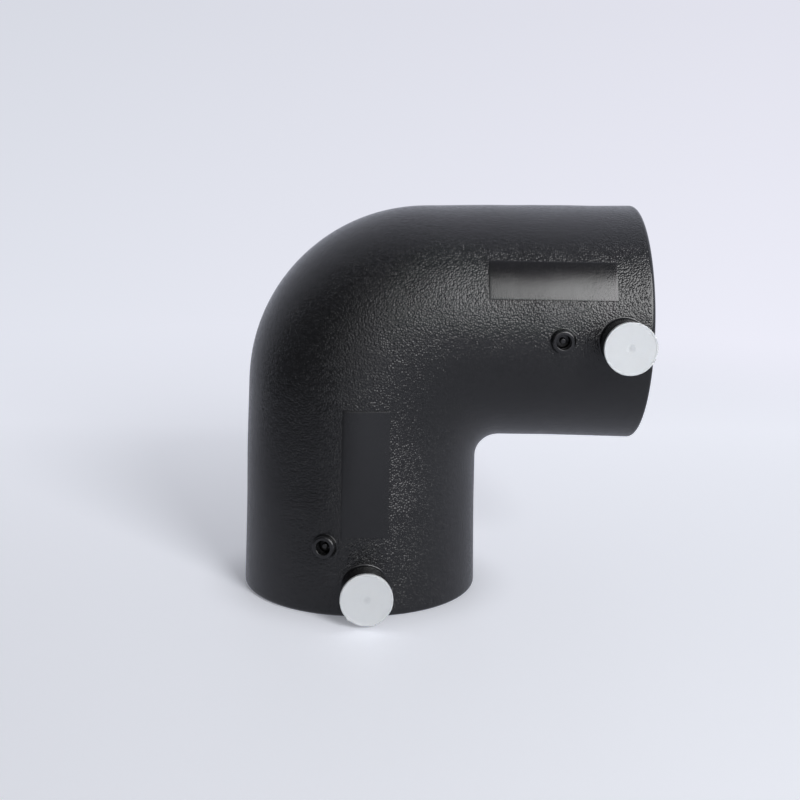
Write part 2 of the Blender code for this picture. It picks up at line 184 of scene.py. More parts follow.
def make_object(name, points, faces):
    """A smooth-shaded object with its faces turned outwards and its place in its mesh."""
    mesh = bpy.data.meshes.new(name)
    mesh.from_pydata(points.reshape(-1, 3).tolist(), [], faces)
    shape = bmesh.new()
    shape.from_mesh(mesh)
    bmesh.ops.recalc_face_normals(shape, faces=shape.faces)
    shape.to_mesh(mesh)
    shape.free()
    mesh.shade_smooth()
    mesh.set_sharp_from_angle(angle=SHARP_ANGLE)
    return linked(name, mesh)


def ring_solid(name, points):
    """A grid of rows of points that closes both ways, like a tyre."""
    rows, columns = points.shape[:2]
    return make_object(name, points, quads(rows, columns, close_rows=True).tolist())


def capped_solid(name, points):
    """A grid of rows that closes round, with a fan of triangles to a pole in the middle of each end."""
    rows, columns = points.shape[:2]
    poles = np.stack([points[0].mean(axis=0), points[-1].mean(axis=0)])
    first, last = rows * columns, rows * columns + 1
    here = np.arange(columns)
    after = (here + 1) % columns
    fan_in = np.stack([np.full(columns, first), after, here], axis=-1)
    end = (rows - 1) * columns
    fan_out = np.stack([np.full(columns, last), end + here, end + after], axis=-1)
    faces = quads(rows, columns).tolist() + fan_in.tolist() + fan_out.tolist()
    return make_object(name, np.concatenate([points.reshape(-1, 3), poles]), faces)


MOST_OF_RUN = 0.45


def rounded(corners, radii, steps):
    """An open line of straight runs whose inner corners are swapped for arcs that touch both runs.

    At a corner the arc is drawn as a weighted mix of the corner and its two tangent points. It takes no more
    than its share of a short run.
    """
    corners = np.array(corners, float)
    line = [corners[:1]]
    for before, corner, after, radius in zip(corners, corners[1:], corners[2:], radii):
        back, on = before - corner, after - corner
        back_length, on_length = np.linalg.norm(back), np.linalg.norm(on)
        back, on = back / back_length, on / on_length
        half = np.arccos(np.clip(back @ on, -1, 1)) / 2
        reach = min(radius / np.tan(half), MOST_OF_RUN * back_length, MOST_OF_RUN * on_length)
        start, end = corner + back * reach, corner + on * reach
        share = np.linspace(0, 1, steps + 1)[:, None]
        weight = np.cos(np.pi / 2 - half) * 2 * share * (1 - share)
        total = (1 - share) ** 2 + weight + share**2
        line.append(((1 - share) ** 2 * start + weight * corner + share**2 * end) / total)
    line.append(corners[-1:])
    return np.concatenate(line)


# %% [markdown]
# ## The outside of the moulding
# The outside is one skin that runs from the lower mouth, round the bend, to the upper mouth. Seen from the
# front its inner corner is a small circle and its outer corner is two straight lines joined by a wide arc.
# Every section of the bend lies in a plane through the small circle's centre, so the skin is an ellipse
# swept about that centre. A curve with a bevel can't change its section like this, so the skin is computed.
# In the photograph the arms' sides keep their width further than their fronts: the outer side some way into
# the bend, the inner side all the way round the corner.

# %% The bend
BEND_ROWS = 84
SHOULDER_TURN = np.radians(20)


def at_sides(round_turns):
    """How much of the shoulder there is round a section: cos squared, so all at the sides, none in front."""
    return np.cos(round_turns) ** 2


def bend_reach(turn, arm_r, fillet, arc):
    """Distance from the inner fillet's centre to the outer wall: along a straight run, or to the arc."""
    across = 2 * arm_r + fillet
    corner = across - arc
    along, up = np.cos(turn), np.sin(turn)
    middle = corner * (along + up)
    to_arc = middle + np.sqrt(np.maximum(middle**2 - 2 * corner**2 + arc**2, 0))
    beside = across * up <= corner * along
    above = across * along <= corner * up
    to_side = across / np.where(beside, along, 1)
    to_top = across / np.where(above, up, 1)
    return np.where(beside, to_side, np.where(above, to_top, to_arc))


def bend_rows(arm_r, fillet, arc, count, round_turns, shoulder=0.0):
    """Ellipses in planes that turn about the fillet's centre, from the lower arm's end to the upper's.

    Point = middle of the section + inward * half width * cos(t) + depth * sin(t). The shoulder widens the
    sections at their sides: the inner side all the way, the outer side near both ends.
    """
    turn = np.linspace(0, np.pi / 2, count)[:, None]
    from_end = np.minimum(turn, np.pi / 2 - turn)
    faded = np.where(np.cos(round_turns) < 0, ease(from_end / SHOULDER_TURN), 0)
    wider = shoulder * (1 - faded) * at_sides(round_turns)
    reach = bend_reach(turn, arm_r, fillet, arc)
    middle, half = (reach + fillet) / 2, (reach - fillet) / 2
    pivot_x, pivot_z = arm_r + fillet, AXIS_TO_MOUTH - arm_r - fillet
    out = middle - (half + wider) * np.cos(round_turns)
    x = pivot_x - out * np.cos(turn)
    z = pivot_z + out * np.sin(turn)
    y = (arm_r + wider) * np.sin(round_turns)
    return np.stack([x, y, z], axis=-1) + SHIFT


# %% Columns of the skin
COLUMNS = 216
COIL_LEAD_TURN = np.radians(105)
TURNS = np.linspace(0, 2 * np.pi, COLUMNS, endpoint=False) - COIL_LEAD_TURN


def circles(arm, radius, from_mouth):
    """Circles about an arm's axis, a row for each radius and distance from the mouth."""
    return on_arm(arm, radius * np.cos(TURNS), radius * np.sin(TURNS), from_mouth)


# %% [markdown]
# ## The straight arms
# Each arm is a turned form, so a row is a circle at one distance from the mouth. The mouth's outer edge is a
# quarter circle in section. On top of the upper arm, where the mould's halves meet, the photograph's outline
# swells by a quarter of a millimetre over some thirty-five millimetres, and a second formula adds that.

# %% Rows of an arm
ARM_ROWS = 34
ROUND_ROWS = 7
SEAM_RISE = 0.00026
SEAM_MIDDLE = 0.034
SEAM_HALF_LENGTH = 0.019
SEAM_SLOPE = 0.8
SEAM_HALF_WIDTH = np.radians(9)


def seam_swelling(arm, from_mouth):
    """A low swelling on the outer side of the upper arm: a bell across it times a smooth rise and fall."""
    if arm == "lower":
        return 0
    off = np.angle(np.exp(1j * (TURNS - np.pi)))
    along = ease((SEAM_HALF_LENGTH - np.abs(from_mouth - SEAM_MIDDLE)) / (SEAM_HALF_LENGTH * SEAM_SLOPE))
    return SEAM_RISE * along * np.exp(-((off / SEAM_HALF_WIDTH) ** 2))


def arm_rows(arm):
    """Circles along an arm: first the mouth's rounded edge, then even steps to the bend."""
    turn = np.linspace(0, np.pi / 2, ROUND_ROWS)
    even = np.linspace(MOUTH_ROUND, STRAIGHT, ARM_ROWS)[1:-1]
    z = np.concatenate([MOUTH_ROUND * (1 - np.cos(turn)), even])[:, None]
    radius = np.concatenate([WIDEST - MOUTH_ROUND * (1 - np.sin(turn)), arm_radius(even)])[:, None]
    radius = radius + seam_swelling(arm, z) + NECK_STEP * neck_share(z) * at_sides(TURNS)
    return circles(arm, radius, z)


# %% [markdown]
# ## The socket and its heating coil
# The wire lies in a groove that winds round the bore like a screw thread. A groove could be cut with a
# Boolean, but that leaves ragged triangles. Instead the rows of the bore climb with the winding: after one
# turn row number k meets row number k plus one pitch, so the groove simply follows the rows. Only the two
# places where the first and last rows start and stop need a face with more than four corners.

# %% Sizes of the coil
WIRE_R = 0.00045
WIRE_BELOW_BORE = 0.0001
WIRE_CENTRE_R = BORE_R + WIRE_BELOW_BORE + WIRE_R
COIL_PITCH = 0.0064
COIL_WOUND = 5.5
LINK_BEND_R = 0.045
LINK_CORNER_R = 0.003
MM = 0.001
BEFORE_GROOVE = MM * 3.2
DEEPEST = MM * 1.28
HALF_OFFSETS = MM * np.array([0.35, 0.62, 0.74, 0.8, 0.92, 1.4])
HALF_DEPTHS = MM * np.array([1.2, 0.85, 0.2, 0.05, 0, 0])
GROOVE_OFFSETS = np.concatenate([[-BEFORE_GROOVE], -HALF_OFFSETS[::-1], [0], HALF_OFFSETS])
GROOVE_DEPTHS = np.concatenate([[0], HALF_DEPTHS[::-1], [DEEPEST], HALF_DEPTHS])
GROOVE_ROWS = len(GROOVE_OFFSETS)
PITCHES = 6
GROOVE_FADE = 0.012


def coil_start(arm):
    """Where the wire starts, so that it passes exactly under the terminal's pin."""
    place = PLACES[arm]
    lead = COIL_LEAD_TURN - np.pi / 2 + np.radians(place["terminal_turn"])
    return place["terminal"] - COIL_PITCH * lead / (2 * np.pi)


def coil_rows(arm):
    """Rows that climb one pitch in a turn, sunk below the bore where the wire lies.

    Height = start + pitch * turns + place in the pitch. Radius = bore + depth of the groove there.
    """
    row = np.arange(PITCHES * GROOVE_ROWS + 1)[:, None]
    part = row % GROOVE_ROWS
    turned_by = (TURNS + COIL_LEAD_TURN) / (2 * np.pi)
    wound = row // GROOVE_ROWS + turned_by
    height = coil_start(arm) + COIL_PITCH * wound + GROOVE_OFFSETS[part]
    present = ease(wound / GROOVE_FADE) * ease((COIL_WOUND + GROOVE_FADE - wound) / GROOVE_FADE)
    return circles(arm, BORE_R + GROOVE_DEPTHS[part] * present, height)


# %% Rows of a socket
COIL_MARGIN = 0.0006
BEND_MARGIN = 0.0003
MOUTH_EDGES = (0.0004, 0.0008)
STOP_EDGES = (0.0008, 0.0006)


def socket_rows(arm):
    """The rows of a socket from its mouth inwards, in three parts: the mouth, the coil, and the pipe stop.

    The mouth and the stop are lines of (radius, distance from the mouth) corners.
    """
    first = coil_start(arm) - COIL_PITCH / 2
    last = first + COIL_PITCH * (PITCHES + 1)
    lead = AXIS_TO_MOUTH - PASSAGE_R - PASSAGE_FILLET
    mouth = [(WIDEST - MOUTH_ROUND, 0), (BORE_R + MOUTH_CHAMFER, 0)]
    mouth += [(BORE_R, MOUTH_CHAMFER), (BORE_R, first - COIL_MARGIN)]
    stop = [(BORE_R, last + COIL_MARGIN), (BORE_R, SOCKET_DEPTH)]
    stop += [(PASSAGE_R, SOCKET_DEPTH), (PASSAGE_R, lead - BEND_MARGIN)]
    mouth_line = np.hsplit(rounded(mouth, MOUTH_EDGES, 3)[1:], 2)
    stop_line = np.hsplit(rounded(stop, STOP_EDGES, 4), 2)
    return circles(arm, *mouth_line), coil_rows(arm), circles(arm, *stop_line)


# %% [markdown]
# ## One closed moulding
# The rows are strung together into a loop: out along one side of the wall and back along the other. A loop
# of rows that also closes round its columns has no edge left over, so the wall is one closed solid.

# %% The loop of rows
PASSAGE_ROWS = 44


def body_loop():
    """All rows in order, and where each coil lies among them: (first row, True if the heights rise)."""
    lower_mouth, lower_coil, lower_stop = socket_rows("lower")
    upper_mouth, upper_coil, upper_stop = socket_rows("upper")
    outside = bend_rows(NECK_R, INNER_FILLET, OUTER_ARC, BEND_ROWS, TURNS, NECK_STEP)
    inside = bend_rows(PASSAGE_R, PASSAGE_FILLET, PASSAGE_ARC, PASSAGE_ROWS, TURNS)
    parts = [
        arm_rows("lower"), outside, arm_rows("upper")[::-1],
        upper_mouth, upper_coil, upper_stop, inside[::-1],
        lower_stop[::-1], lower_coil[::-1], lower_mouth[::-1],
    ]
    starts = np.cumsum([0] + [len(part) for part in parts])
    return np.concatenate(parts), ((starts[4], True), (starts[8], False))


def seam_faces(rows, columns, coils):
    """The faces between the last column and the first. A coil's rows meet those one pitch further on."""
    left, right = np.arange(rows) * columns + columns - 1, np.arange(rows) * columns
    pitch, count = GROOVE_ROWS, PITCHES * GROOVE_ROWS
    plain = np.ones(rows, bool)
    faces = []
    for start, rising in coils:
        plain[start - 1 : start + count + 1] = False
        near, far = (left, right) if rising else (right, left)
        here = start + np.arange(count - pitch)
        ahead = here + pitch
        band = [near[here], far[ahead], far[ahead + 1], near[here + 1]]
        before, after, top = start - 1, start + count + 1, start + count
        opening = [near[before], far[before], *far[start : start + pitch + 1], near[start]]
        closing = [near[top - pitch], far[top], far[after], near[after], *near[top : top - pitch : -1]]
        turn = slice(None) if rising else slice(None, None, -1)
        faces += np.stack(band, axis=-1)[:, turn].tolist() + [opening[turn], closing[turn]]
    here = np.flatnonzero(plain)
    ahead = (here + 1) % rows
    return faces + np.stack([left[here], right[here], right[ahead], left[ahead]], axis=-1).tolist()


body_points, coils = body_loop()
rows, columns = body_points.shape[:2]
all_quads = quads(rows, columns, close_rows=True).reshape(rows, columns, 4)
body_faces = all_quads[:, :-1].reshape(-1, 4).tolist() + seam_faces(rows, columns, coils)
moulding = make_object("elbow_moulding", body_points, body_faces)
print("moulding:", rows, "rows,", columns, "columns,", len(body_faces), "faces")


# %% [markdown]
# ## Pieces that stand square to an arm
# Collars, indicator wells, pins and caps are all turned about a line that runs straight out of the arm. A
# ring of such a piece has a radius and a height above the arm's axis. Where a collar grows out of the
# arm, the ring's height isn't constant: it follows the arm's round surface, which is what makes a true
# saddle-shaped fillet.

# %% Rings about an outward axis
RING_COLUMNS = 96
PIN_COLUMNS = 48
FOOT_STEPS = 8
SUNK = 0.0002


def spot(arm, kind):
    """Where a terminal or a well stands: its arm, its distance from the mouth, and its turn in degrees."""
    place = PLACES[arm]
    return arm, place[kind], place[kind + "_turn"]


def ring(radius, columns=RING_COLUMNS):
    """A ring's points: how far each lies along the arm, and how far off to the side."""
    round_axis = np.linspace(0, 2 * np.pi, columns, endpoint=False)
    return radius * np.cos(round_axis), radius * np.sin(round_axis)


def outward(arm, from_mouth, turn, radius, height, columns=RING_COLUMNS):
    """Points at a radius round the outward axis and a height from the arm's own axis, both row by row.

    With the axis turned by T: across = height * sin(T) + off * cos(T), back = off * sin(T) - height * cos(T).
    """
    along, off = ring(radius, columns)
    height = np.broadcast_to(height, off.shape)
    tilt = np.radians(turn)
    across = height * np.sin(tilt) + off * np.cos(tilt)
    side = off * np.sin(tilt) - height * np.cos(tilt)
    return on_arm(arm, across, side, from_mouth + along)


def foot_rows(from_mouth, root_r, fillet):
    """Radii and heights of the rings from under the skin, up through the fillet, to the side wall.

    The skin's height over the arm's axis, along a ring, is the root of (radius squared - off squared).
    """
    turn = np.linspace(0, np.pi / 2, FOOT_STEPS)[:, None]
    radius = np.concatenate([[[root_r + fillet + SUNK]], root_r + fillet * (1 - np.sin(turn))])
    lift = np.concatenate([[[-SUNK]], fillet * (1 - np.cos(turn))])
    along, off = ring(radius)
    return radius, np.sqrt(arm_radius(from_mouth + along) ** 2 - off**2) + lift


def turned_piece(name, place, corners):
    """A closed turned piece from a line of (radius, height) points that starts and ends near its axis."""
    radius, height = np.hsplit(np.array(corners), 2)
    return capped_solid(name, outward(*place, radius, height, PIN_COLUMNS))


# %% [markdown]
# ## Terminal collars
# A collar guards the pin that the welding lead pushes onto. It is moulded with the body and smooth, because
# the steel there is turned and not etched. Each collar is a ring solid: up the outside, over the lip, down
# the bore, and back under the skin. The real one is part of the wall, so it is sunk well into it.

# %% Collars
COLLAR_R = 0.0088
COLLAR_ROOT_R = 0.0091
COLLAR_EDGE = 0.0005
COLLAR_FILLET = 0.0006
COLLAR_BORE_R = 0.0062
COLLAR_SINK = 0.0015
PIN_FOOT_R = 0.0013
CAP_FACE = 0.0612
CAP_DISC_T = 0.0016
COLLAR_TOP = CAP_FACE - CAP_DISC_T - FIT_GAP
ROOT_LEVEL = BORE_R + SOCKET_WALL / 2


def collar_floor(arm):
    """Where the collar's bore ends: a little below the skin."""
    return float(arm_radius(PLACES[arm]["terminal"])) - COLLAR_SINK


def collar(arm):
    """Rings in order: the fillet, the side, the lip, the bore, the floor, the pin's hole, the underside."""
    floor = collar_floor(arm)
    hole = PIN_FOOT_R + FIT_GAP
    foot_r, foot_h = foot_rows(PLACES[arm]["terminal"], COLLAR_ROOT_R, COLLAR_FILLET)
    corners = [
        (COLLAR_ROOT_R, WIDEST + COLLAR_FILLET),
        (COLLAR_R, COLLAR_TOP),
        (COLLAR_BORE_R, COLLAR_TOP),
        (COLLAR_BORE_R, floor),
        (hole, floor),
        (hole, ROOT_LEVEL),
        (COLLAR_ROOT_R, ROOT_LEVEL),
    ]
    line = rounded(corners, (COLLAR_EDGE, COLLAR_EDGE, COLLAR_EDGE, COLLAR_EDGE / 4, 0), 5)
    radius = np.concatenate([foot_r, line[:, :1]])
    height = np.concatenate([foot_h, np.repeat(line[:, 1:], foot_h.shape[1], axis=1)])
    return ring_solid("terminal_collar_" + arm, outward(*spot(arm, "terminal"), radius, height))


collars = {arm: collar(arm) for arm in PLACES}
print("collars stand out, mm:", round(1000 * (COLLAR_TOP - ARM_R), 1))

# %% [markdown]
# ## Fusion indicators
# When the joint is welded, molten plastic pushes a small pin up out of its well, which tells the fitter that
# the weld took. The well is a low round boss with a soft rim and a blind hole, and the pin waits in it.

# %% Wells and their pins
WELL_BASE_R = 0.0048
WELL_TOP_R = 0.0044
WELL_RISE = 0.0023
WELL_ROUND = 0.0009
WELL_FILLET = 0.0003
WELL_HOLE_R = 0.0028
WELL_HOLE_DEPTH = 0.0075
WELL_HOLE_EDGE = 0.0003
INDICATOR_TIP_R = 0.0012
INDICATOR_TIP_LENGTH = 0.0024
INDICATOR_BELOW_RIM = 0.0022
INDICATOR_CHAMFER = 0.0010
INDICATOR_EDGE = 0.0001
UNDER_HOLE = 0.0007
WELL_MIDDLE = 0.0004
NEAR_AXIS = 0.0002


def well_top(arm):
    """How high the well's rim stands above the arm's axis."""
    return float(arm_radius(PLACES[arm]["well"])) + WELL_RISE


def well(arm):
    """Rings from the underside's middle, out, up the side, over the rim and down the blind hole."""
    top = well_top(arm)
    bottom = top - WELL_HOLE_DEPTH
    foot_r, foot_h = foot_rows(PLACES[arm]["well"], WELL_BASE_R, WELL_FILLET)
    under = np.array([(WELL_MIDDLE, bottom - UNDER_HOLE), (WELL_BASE_R, bottom - UNDER_HOLE)])
    corners = [
        (WELL_BASE_R, top - WELL_RISE + WELL_FILLET),
        (WELL_TOP_R, top),
        (WELL_HOLE_R, top),
        (WELL_HOLE_R, bottom),
        (WELL_MIDDLE, bottom),
    ]
    line = rounded(corners, (WELL_ROUND, WELL_HOLE_EDGE, WELL_HOLE_EDGE), 8)
    radius = np.concatenate([under[:, :1], foot_r, line[:, :1]])
    spread = foot_h.shape[1]
    height = [np.repeat(under[:, 1:], spread, axis=1), foot_h, np.repeat(line[:, 1:], spread, axis=1)]
    return capped_solid("indicator_well_" + arm, outward(*spot(arm, "well"), radius, np.concatenate(height)))


def indicator(arm):
    """Corners in order: the tip's middle and edge, the shoulder, the foot, and the foot's middle."""
    tip = well_top(arm) - INDICATOR_BELOW_RIM
    foot_r = WELL_HOLE_R - FIT_GAP
    bottom = well_top(arm) - WELL_HOLE_DEPTH + FIT_GAP
    corners = [
        (NEAR_AXIS, tip),
        (INDICATOR_TIP_R, tip),
        (INDICATOR_TIP_R, tip - INDICATOR_TIP_LENGTH),
        (foot_r, tip - INDICATOR_TIP_LENGTH),
        (foot_r, bottom),
        (NEAR_AXIS, bottom),
    ]
    line = rounded(corners, (INDICATOR_CHAMFER, INDICATOR_EDGE, INDICATOR_EDGE, INDICATOR_EDGE), 6)
    return turned_piece("fusion_indicator_" + arm, spot(arm, "well"), line)


wells = {arm: well(arm) for arm in PLACES}
indicators = {arm: indicator(arm) for arm in PLACES}
print("indicator tips lie below their rims, mm:", round(1000 * INDICATOR_BELOW_RIM, 1))

# %% [markdown]
# ## The panels
# A real moulding carries its size and marking on two smooth raised panels. Here they are bare. A panel could
# be cut from a larger skin with a Boolean, as the solid's is. Here it is a thin slab whose face follows the
# skin's own formula, lifted by its rise, so its rounded edges stay crisp from end to end, round the bend too.
# Along the arm the face is straight, as its insert in the mould is, and so its reflections run through.

# %% Panels that follow the skin
PANEL_EDGE = 0.00016
PANEL_SUNK = 0.0003
PANEL_THICK = 0.0012
PANEL_EDGE_STEPS = 5
PANEL_STEPS = (18, 48)


def off_middle(across, from_mouth):
    """How far a place in the bend, seen from the front, is off its section's middle: 1 is the outer skin."""
    along, up = NECK_R + INNER_FILLET - across, from_mouth - STRAIGHT
    reach = bend_reach(np.clip(np.arctan2(up, along), 0, np.pi / 2), NECK_R, INNER_FILLET, OUTER_ARC)
    return (np.hypot(along, up) - (reach + INNER_FILLET) / 2) / ((reach - INNER_FILLET) / 2)


def front_depth(across, from_mouth):
    """How far the skin lies in front of the arm's axis at a place seen from the front.

    On the arm it is root of (radius squared - across squared). Round the bend the section is an ellipse.
    """
    on_straight = np.sqrt(arm_radius(from_mouth) ** 2 - across**2)
    in_bend = NECK_R * np.sqrt(np.clip(1 - off_middle(across, from_mouth) ** 2, 0, 1))
    return np.where(from_mouth < STRAIGHT, on_straight, in_bend)


def edge_line(length, count):
    """Places along a side, and how far the face has risen there: a wall, a small rounding, then level."""
    turn = np.linspace(0, np.pi / 2, PANEL_EDGE_STEPS)
    near = PANEL_EDGE * (1 - np.cos(turn))
    risen = 1 - PANEL_EDGE / (PANEL_RISE + PANEL_SUNK) * (1 - np.sin(turn))
    level = np.linspace(0, length, count + 1)[1:-1]
    places = np.concatenate([[0.0], near, level, length - near[::-1], [length]])
    return places, np.concatenate([[0.0], risen, np.ones(count - 1), risen[::-1], [0.0]])


def straightened(from_mouth):
    """What brings the skin to a straight line between a panel's two ends, past the step at the neck."""
    ends = np.array([from_mouth.min(), from_mouth.max()])
    return np.interp(from_mouth, ends, arm_radius(ends)) - arm_radius(from_mouth)


def panel(arm):
    """Height over the skin = rise and sunk depth times the two sides' risen shares, less the sunk depth."""
    place = PLACES[arm]
    off, off_risen = edge_line(place["panel_width"], PANEL_STEPS[0])
    along, along_risen = edge_line(PANEL_LENGTH, PANEL_STEPS[1])
    across = place["panel_side"] - place["panel_width"] / 2 + off[None, :]
    from_mouth = place["panel"] + along[:, None]
    risen = along_risen[:, None] * off_risen[None, :]
    skin = front_depth(across, from_mouth) + straightened(from_mouth)
    face = skin + (PANEL_RISE + PANEL_SUNK) * risen - PANEL_SUNK
    across = np.broadcast_to(across, face.shape)
    loop_across = np.concatenate([across, across[:, ::-1]], axis=1)
    loop_depth = np.concatenate([face, (skin - PANEL_THICK)[:, ::-1]], axis=1)
    return capped_solid("smooth_panel_" + arm, on_arm(arm, loop_across, -loop_depth, from_mouth))


label_panels = {arm: panel(arm) for arm in PLACES}
print("panels rise over the skin, mm:", round(1000 * PANEL_RISE, 2))

# %% [markdown]
# ## Holes in the moulding
# The collars' bores and the wells run into the wall, so the moulding is drilled where they are set in. Four
# drills, each a closed turned form, are joined in one object and taken away by a single Boolean.

# %% Drill the moulding
DRILL_MARGIN = 0.0005
DRILL_PAST = 0.004


def terminal_drill(arm):
    """Wide down to the collar's underside, then narrow down to the bottom of the wire's groove."""
    wide, narrow = COLLAR_R - DRILL_MARGIN, PIN_FOOT_R + FIT_GAP
    wire = WIRE_CENTRE_R + WIRE_R
    top = COLLAR_TOP + DRILL_PAST
    corners = [(NEAR_AXIS, top), (wide, top), (wide, ROOT_LEVEL)]
    corners += [(narrow, ROOT_LEVEL), (narrow, wire), (NEAR_AXIS, wire)]
    return turned_piece("terminal_drill_" + arm, spot(arm, "terminal"), corners)


def well_drill(arm):
    """A plain cylinder down to the underside of the well."""
    wide = WELL_BASE_R - DRILL_MARGIN
    top = well_top(arm) + DRILL_PAST
    bottom = well_top(arm) - WELL_HOLE_DEPTH - UNDER_HOLE
    corners = [(NEAR_AXIS, top), (wide, top), (wide, bottom), (NEAR_AXIS, bottom)]
    return turned_piece("well_drill_" + arm, spot(arm, "well"), corners)


def joined(things, name):
    """Puts the meshes of several objects into one new object and removes the old ones."""
    shape = bmesh.new()
    for thing in things:
        shape.from_mesh(thing.data)
        bpy.data.objects.remove(thing, do_unlink=True)
    mesh = bpy.data.meshes.new(name)
    shape.to_mesh(mesh)
    shape.free()
    return linked(name, mesh)


def cut(target, cutter):
    """Takes the cutter away from the target and keeps the result as the target's mesh."""
    step = target.modifiers.new("drilled", "BOOLEAN")
    step.operation = "DIFFERENCE"
    step.solver = "EXACT"
    step.object = cutter
    done = bpy.data.meshes.new_from_object(target.evaluated_get(bpy.context.evaluated_depsgraph_get()))
    target.modifiers.clear()
    target.data = done
    bpy.data.objects.remove(cutter, do_unlink=True)
    done.shade_smooth()
    done.set_sharp_from_angle(angle=SHARP_ANGLE)


cut(moulding, joined([terminal_drill(arm) for arm in PLACES] + [well_drill(arm) for arm in PLACES], "drills"))
print("drilled moulding:", len(moulding.data.polygons), "faces")

# %% [markdown]
# ## Brass pins
# Inside each collar a turned brass pin stands on a flange, and its foot reaches down to the wire. The caps
# hide them, but they are there, as they are in the real fitting.

# %% Terminal pins
PIN_R = 0.0020
PIN_CHAMFER = 0.0007
PIN_EDGE = 0.0002
PIN_FLANGE_R = 0.0034
PIN_FLANGE_T = 0.0012
PIN_BELOW_COLLAR = 0.0024


def terminal_pin(arm):
    """Corners in order: the tip's middle and edge, the shank, the flange, the foot, and its middle."""
    flange = collar_floor(arm) + FIT_GAP
    tip = COLLAR_TOP - PIN_BELOW_COLLAR
    foot = WIRE_CENTRE_R + WIRE_R + FIT_GAP
    corners = [
        (NEAR_AXIS, tip),
        (PIN_R, tip),
        (PIN_R, flange + PIN_FLANGE_T),
        (PIN_FLANGE_R, flange + PIN_FLANGE_T),
        (PIN_FLANGE_R, flange),
        (PIN_FOOT_R, flange),
        (PIN_FOOT_R, foot),
        (NEAR_AXIS, foot),
    ]
    line = rounded(corners, (PIN_CHAMFER, PIN_EDGE, PIN_EDGE, PIN_EDGE, PIN_EDGE / 2, PIN_EDGE), 4)
    return turned_piece("brass_pin_" + arm, spot(arm, "terminal"), line)


pins = {arm: terminal_pin(arm) for arm in PLACES}
print("pins end below the collars' rims, mm:", round(1000 * PIN_BELOW_COLLAR, 1))

# %% [markdown]
# ## White caps
# The caps are moulded in soft white plastic. Each has a flat disc with a fine bead round its rim, a hollow
# plug that grips the collar's bore, and in the middle the small round mark where the plastic was let into
# the mould. On the lower cap a nib of flash stands out from the rim, where the mould's halves met.

# %% Caps
CAP_R = 0.0101
CAP_BEAD_W = 0.0007
CAP_BEAD_H = 0.00012
CAP_GATE_R = 0.0009
CAP_GATE_DEPTH = 0.00012
CAP_GATE_SOFT = 0.006
CAP_FINE_EDGE = 0.0002
CAP_RIM_EDGE = 0.0003
CAP_PLUG_EDGE = 0.0004
CAP_MIDDLE = 0.0001
NIB_TURN = np.radians(223)
NIB_WIDTH = np.radians(3.2)
NIB_REACH = 0.0006
CAP_PLUG_LENGTH = 0.0060
CAP_PLUG_WALL = 0.0011
CAP_COLUMNS = 128


def cap_profile():
    """Corners in order: the face with its mark and bead, the rim, the plug's outside, and its inside."""
    face, under = CAP_FACE - CAP_BEAD_H, CAP_FACE - CAP_DISC_T
    plug_r = COLLAR_BORE_R - FIT_GAP
    plug_end = under - CAP_PLUG_LENGTH
    corners = [
        (CAP_MIDDLE, face - CAP_GATE_DEPTH),
        (CAP_GATE_R, face - CAP_GATE_DEPTH),
        (2 * CAP_GATE_R, face),
        (CAP_R - CAP_BEAD_W - CAP_BEAD_H, face),
        (CAP_R - CAP_BEAD_W, CAP_FACE),
        (CAP_R, CAP_FACE),
        (CAP_R, under),
        (plug_r, under),
        (plug_r, plug_end),
        (plug_r - CAP_PLUG_WALL, plug_end),
        (plug_r - CAP_PLUG_WALL, face - CAP_DISC_T),
        (CAP_MIDDLE, face - CAP_DISC_T),
    ]
    radii = 2 * (CAP_GATE_SOFT,) + 2 * (CAP_FINE_EDGE,) + 2 * (CAP_RIM_EDGE,) + (CAP_FINE_EDGE,)
    return rounded(corners, radii + 3 * (CAP_PLUG_EDGE,), 4)


def cap(arm):
    """A turned piece. The lower cap's rim reaches out at one turn, by a bell curve of the turn from there.

    Each point also stores its share of the gate's painted shade: 1 at the middle, 0 at twice the mark's radius.
    """
    profile = cap_profile()
    radius, height = np.hsplit(profile, 2)
    if arm == "lower":
        turn = np.linspace(0, 2 * np.pi, CAP_COLUMNS, endpoint=False)
        rim = np.clip((radius - CAP_R) / CAP_BEAD_W + 1, 0, 1)
        radius = radius + NIB_REACH * rim * np.exp(-(((turn - NIB_TURN) / NIB_WIDTH) ** 2))
    thing = capped_solid("white_cap_" + arm, outward(*spot(arm, "terminal"), radius, height, CAP_COLUMNS))
    gate_shade_share = np.clip(1 - profile[:, 0] / (2 * CAP_GATE_R), 0, 1).repeat(CAP_COLUMNS)
    stored = thing.data.attributes.new("gate_shade_share", "FLOAT", "POINT")
    stored.data.foreach_set("value", np.append(gate_shade_share, (1, 1)))
    return thing


caps = {arm: cap(arm) for arm in PLACES}
print("caps are across, mm:", round(2000 * CAP_R, 1))

# %% [markdown]
# ## The heating wire
# One copper wire starts beside the lower terminal, passes under its pin, winds round the bore, runs through
# the wall of the bend at the back and winds round the other bore. It is a circle carried along a path. To
# keep the circle from twisting, its frame is tied to a direction that is known everywhere: straight out of
# the bore.

# %% The wire's path and tube
WIRE_STEPS = 72
WIRE_SIDES = 10
QUARTER_STEPS = 9
LINK_STEPS = 25


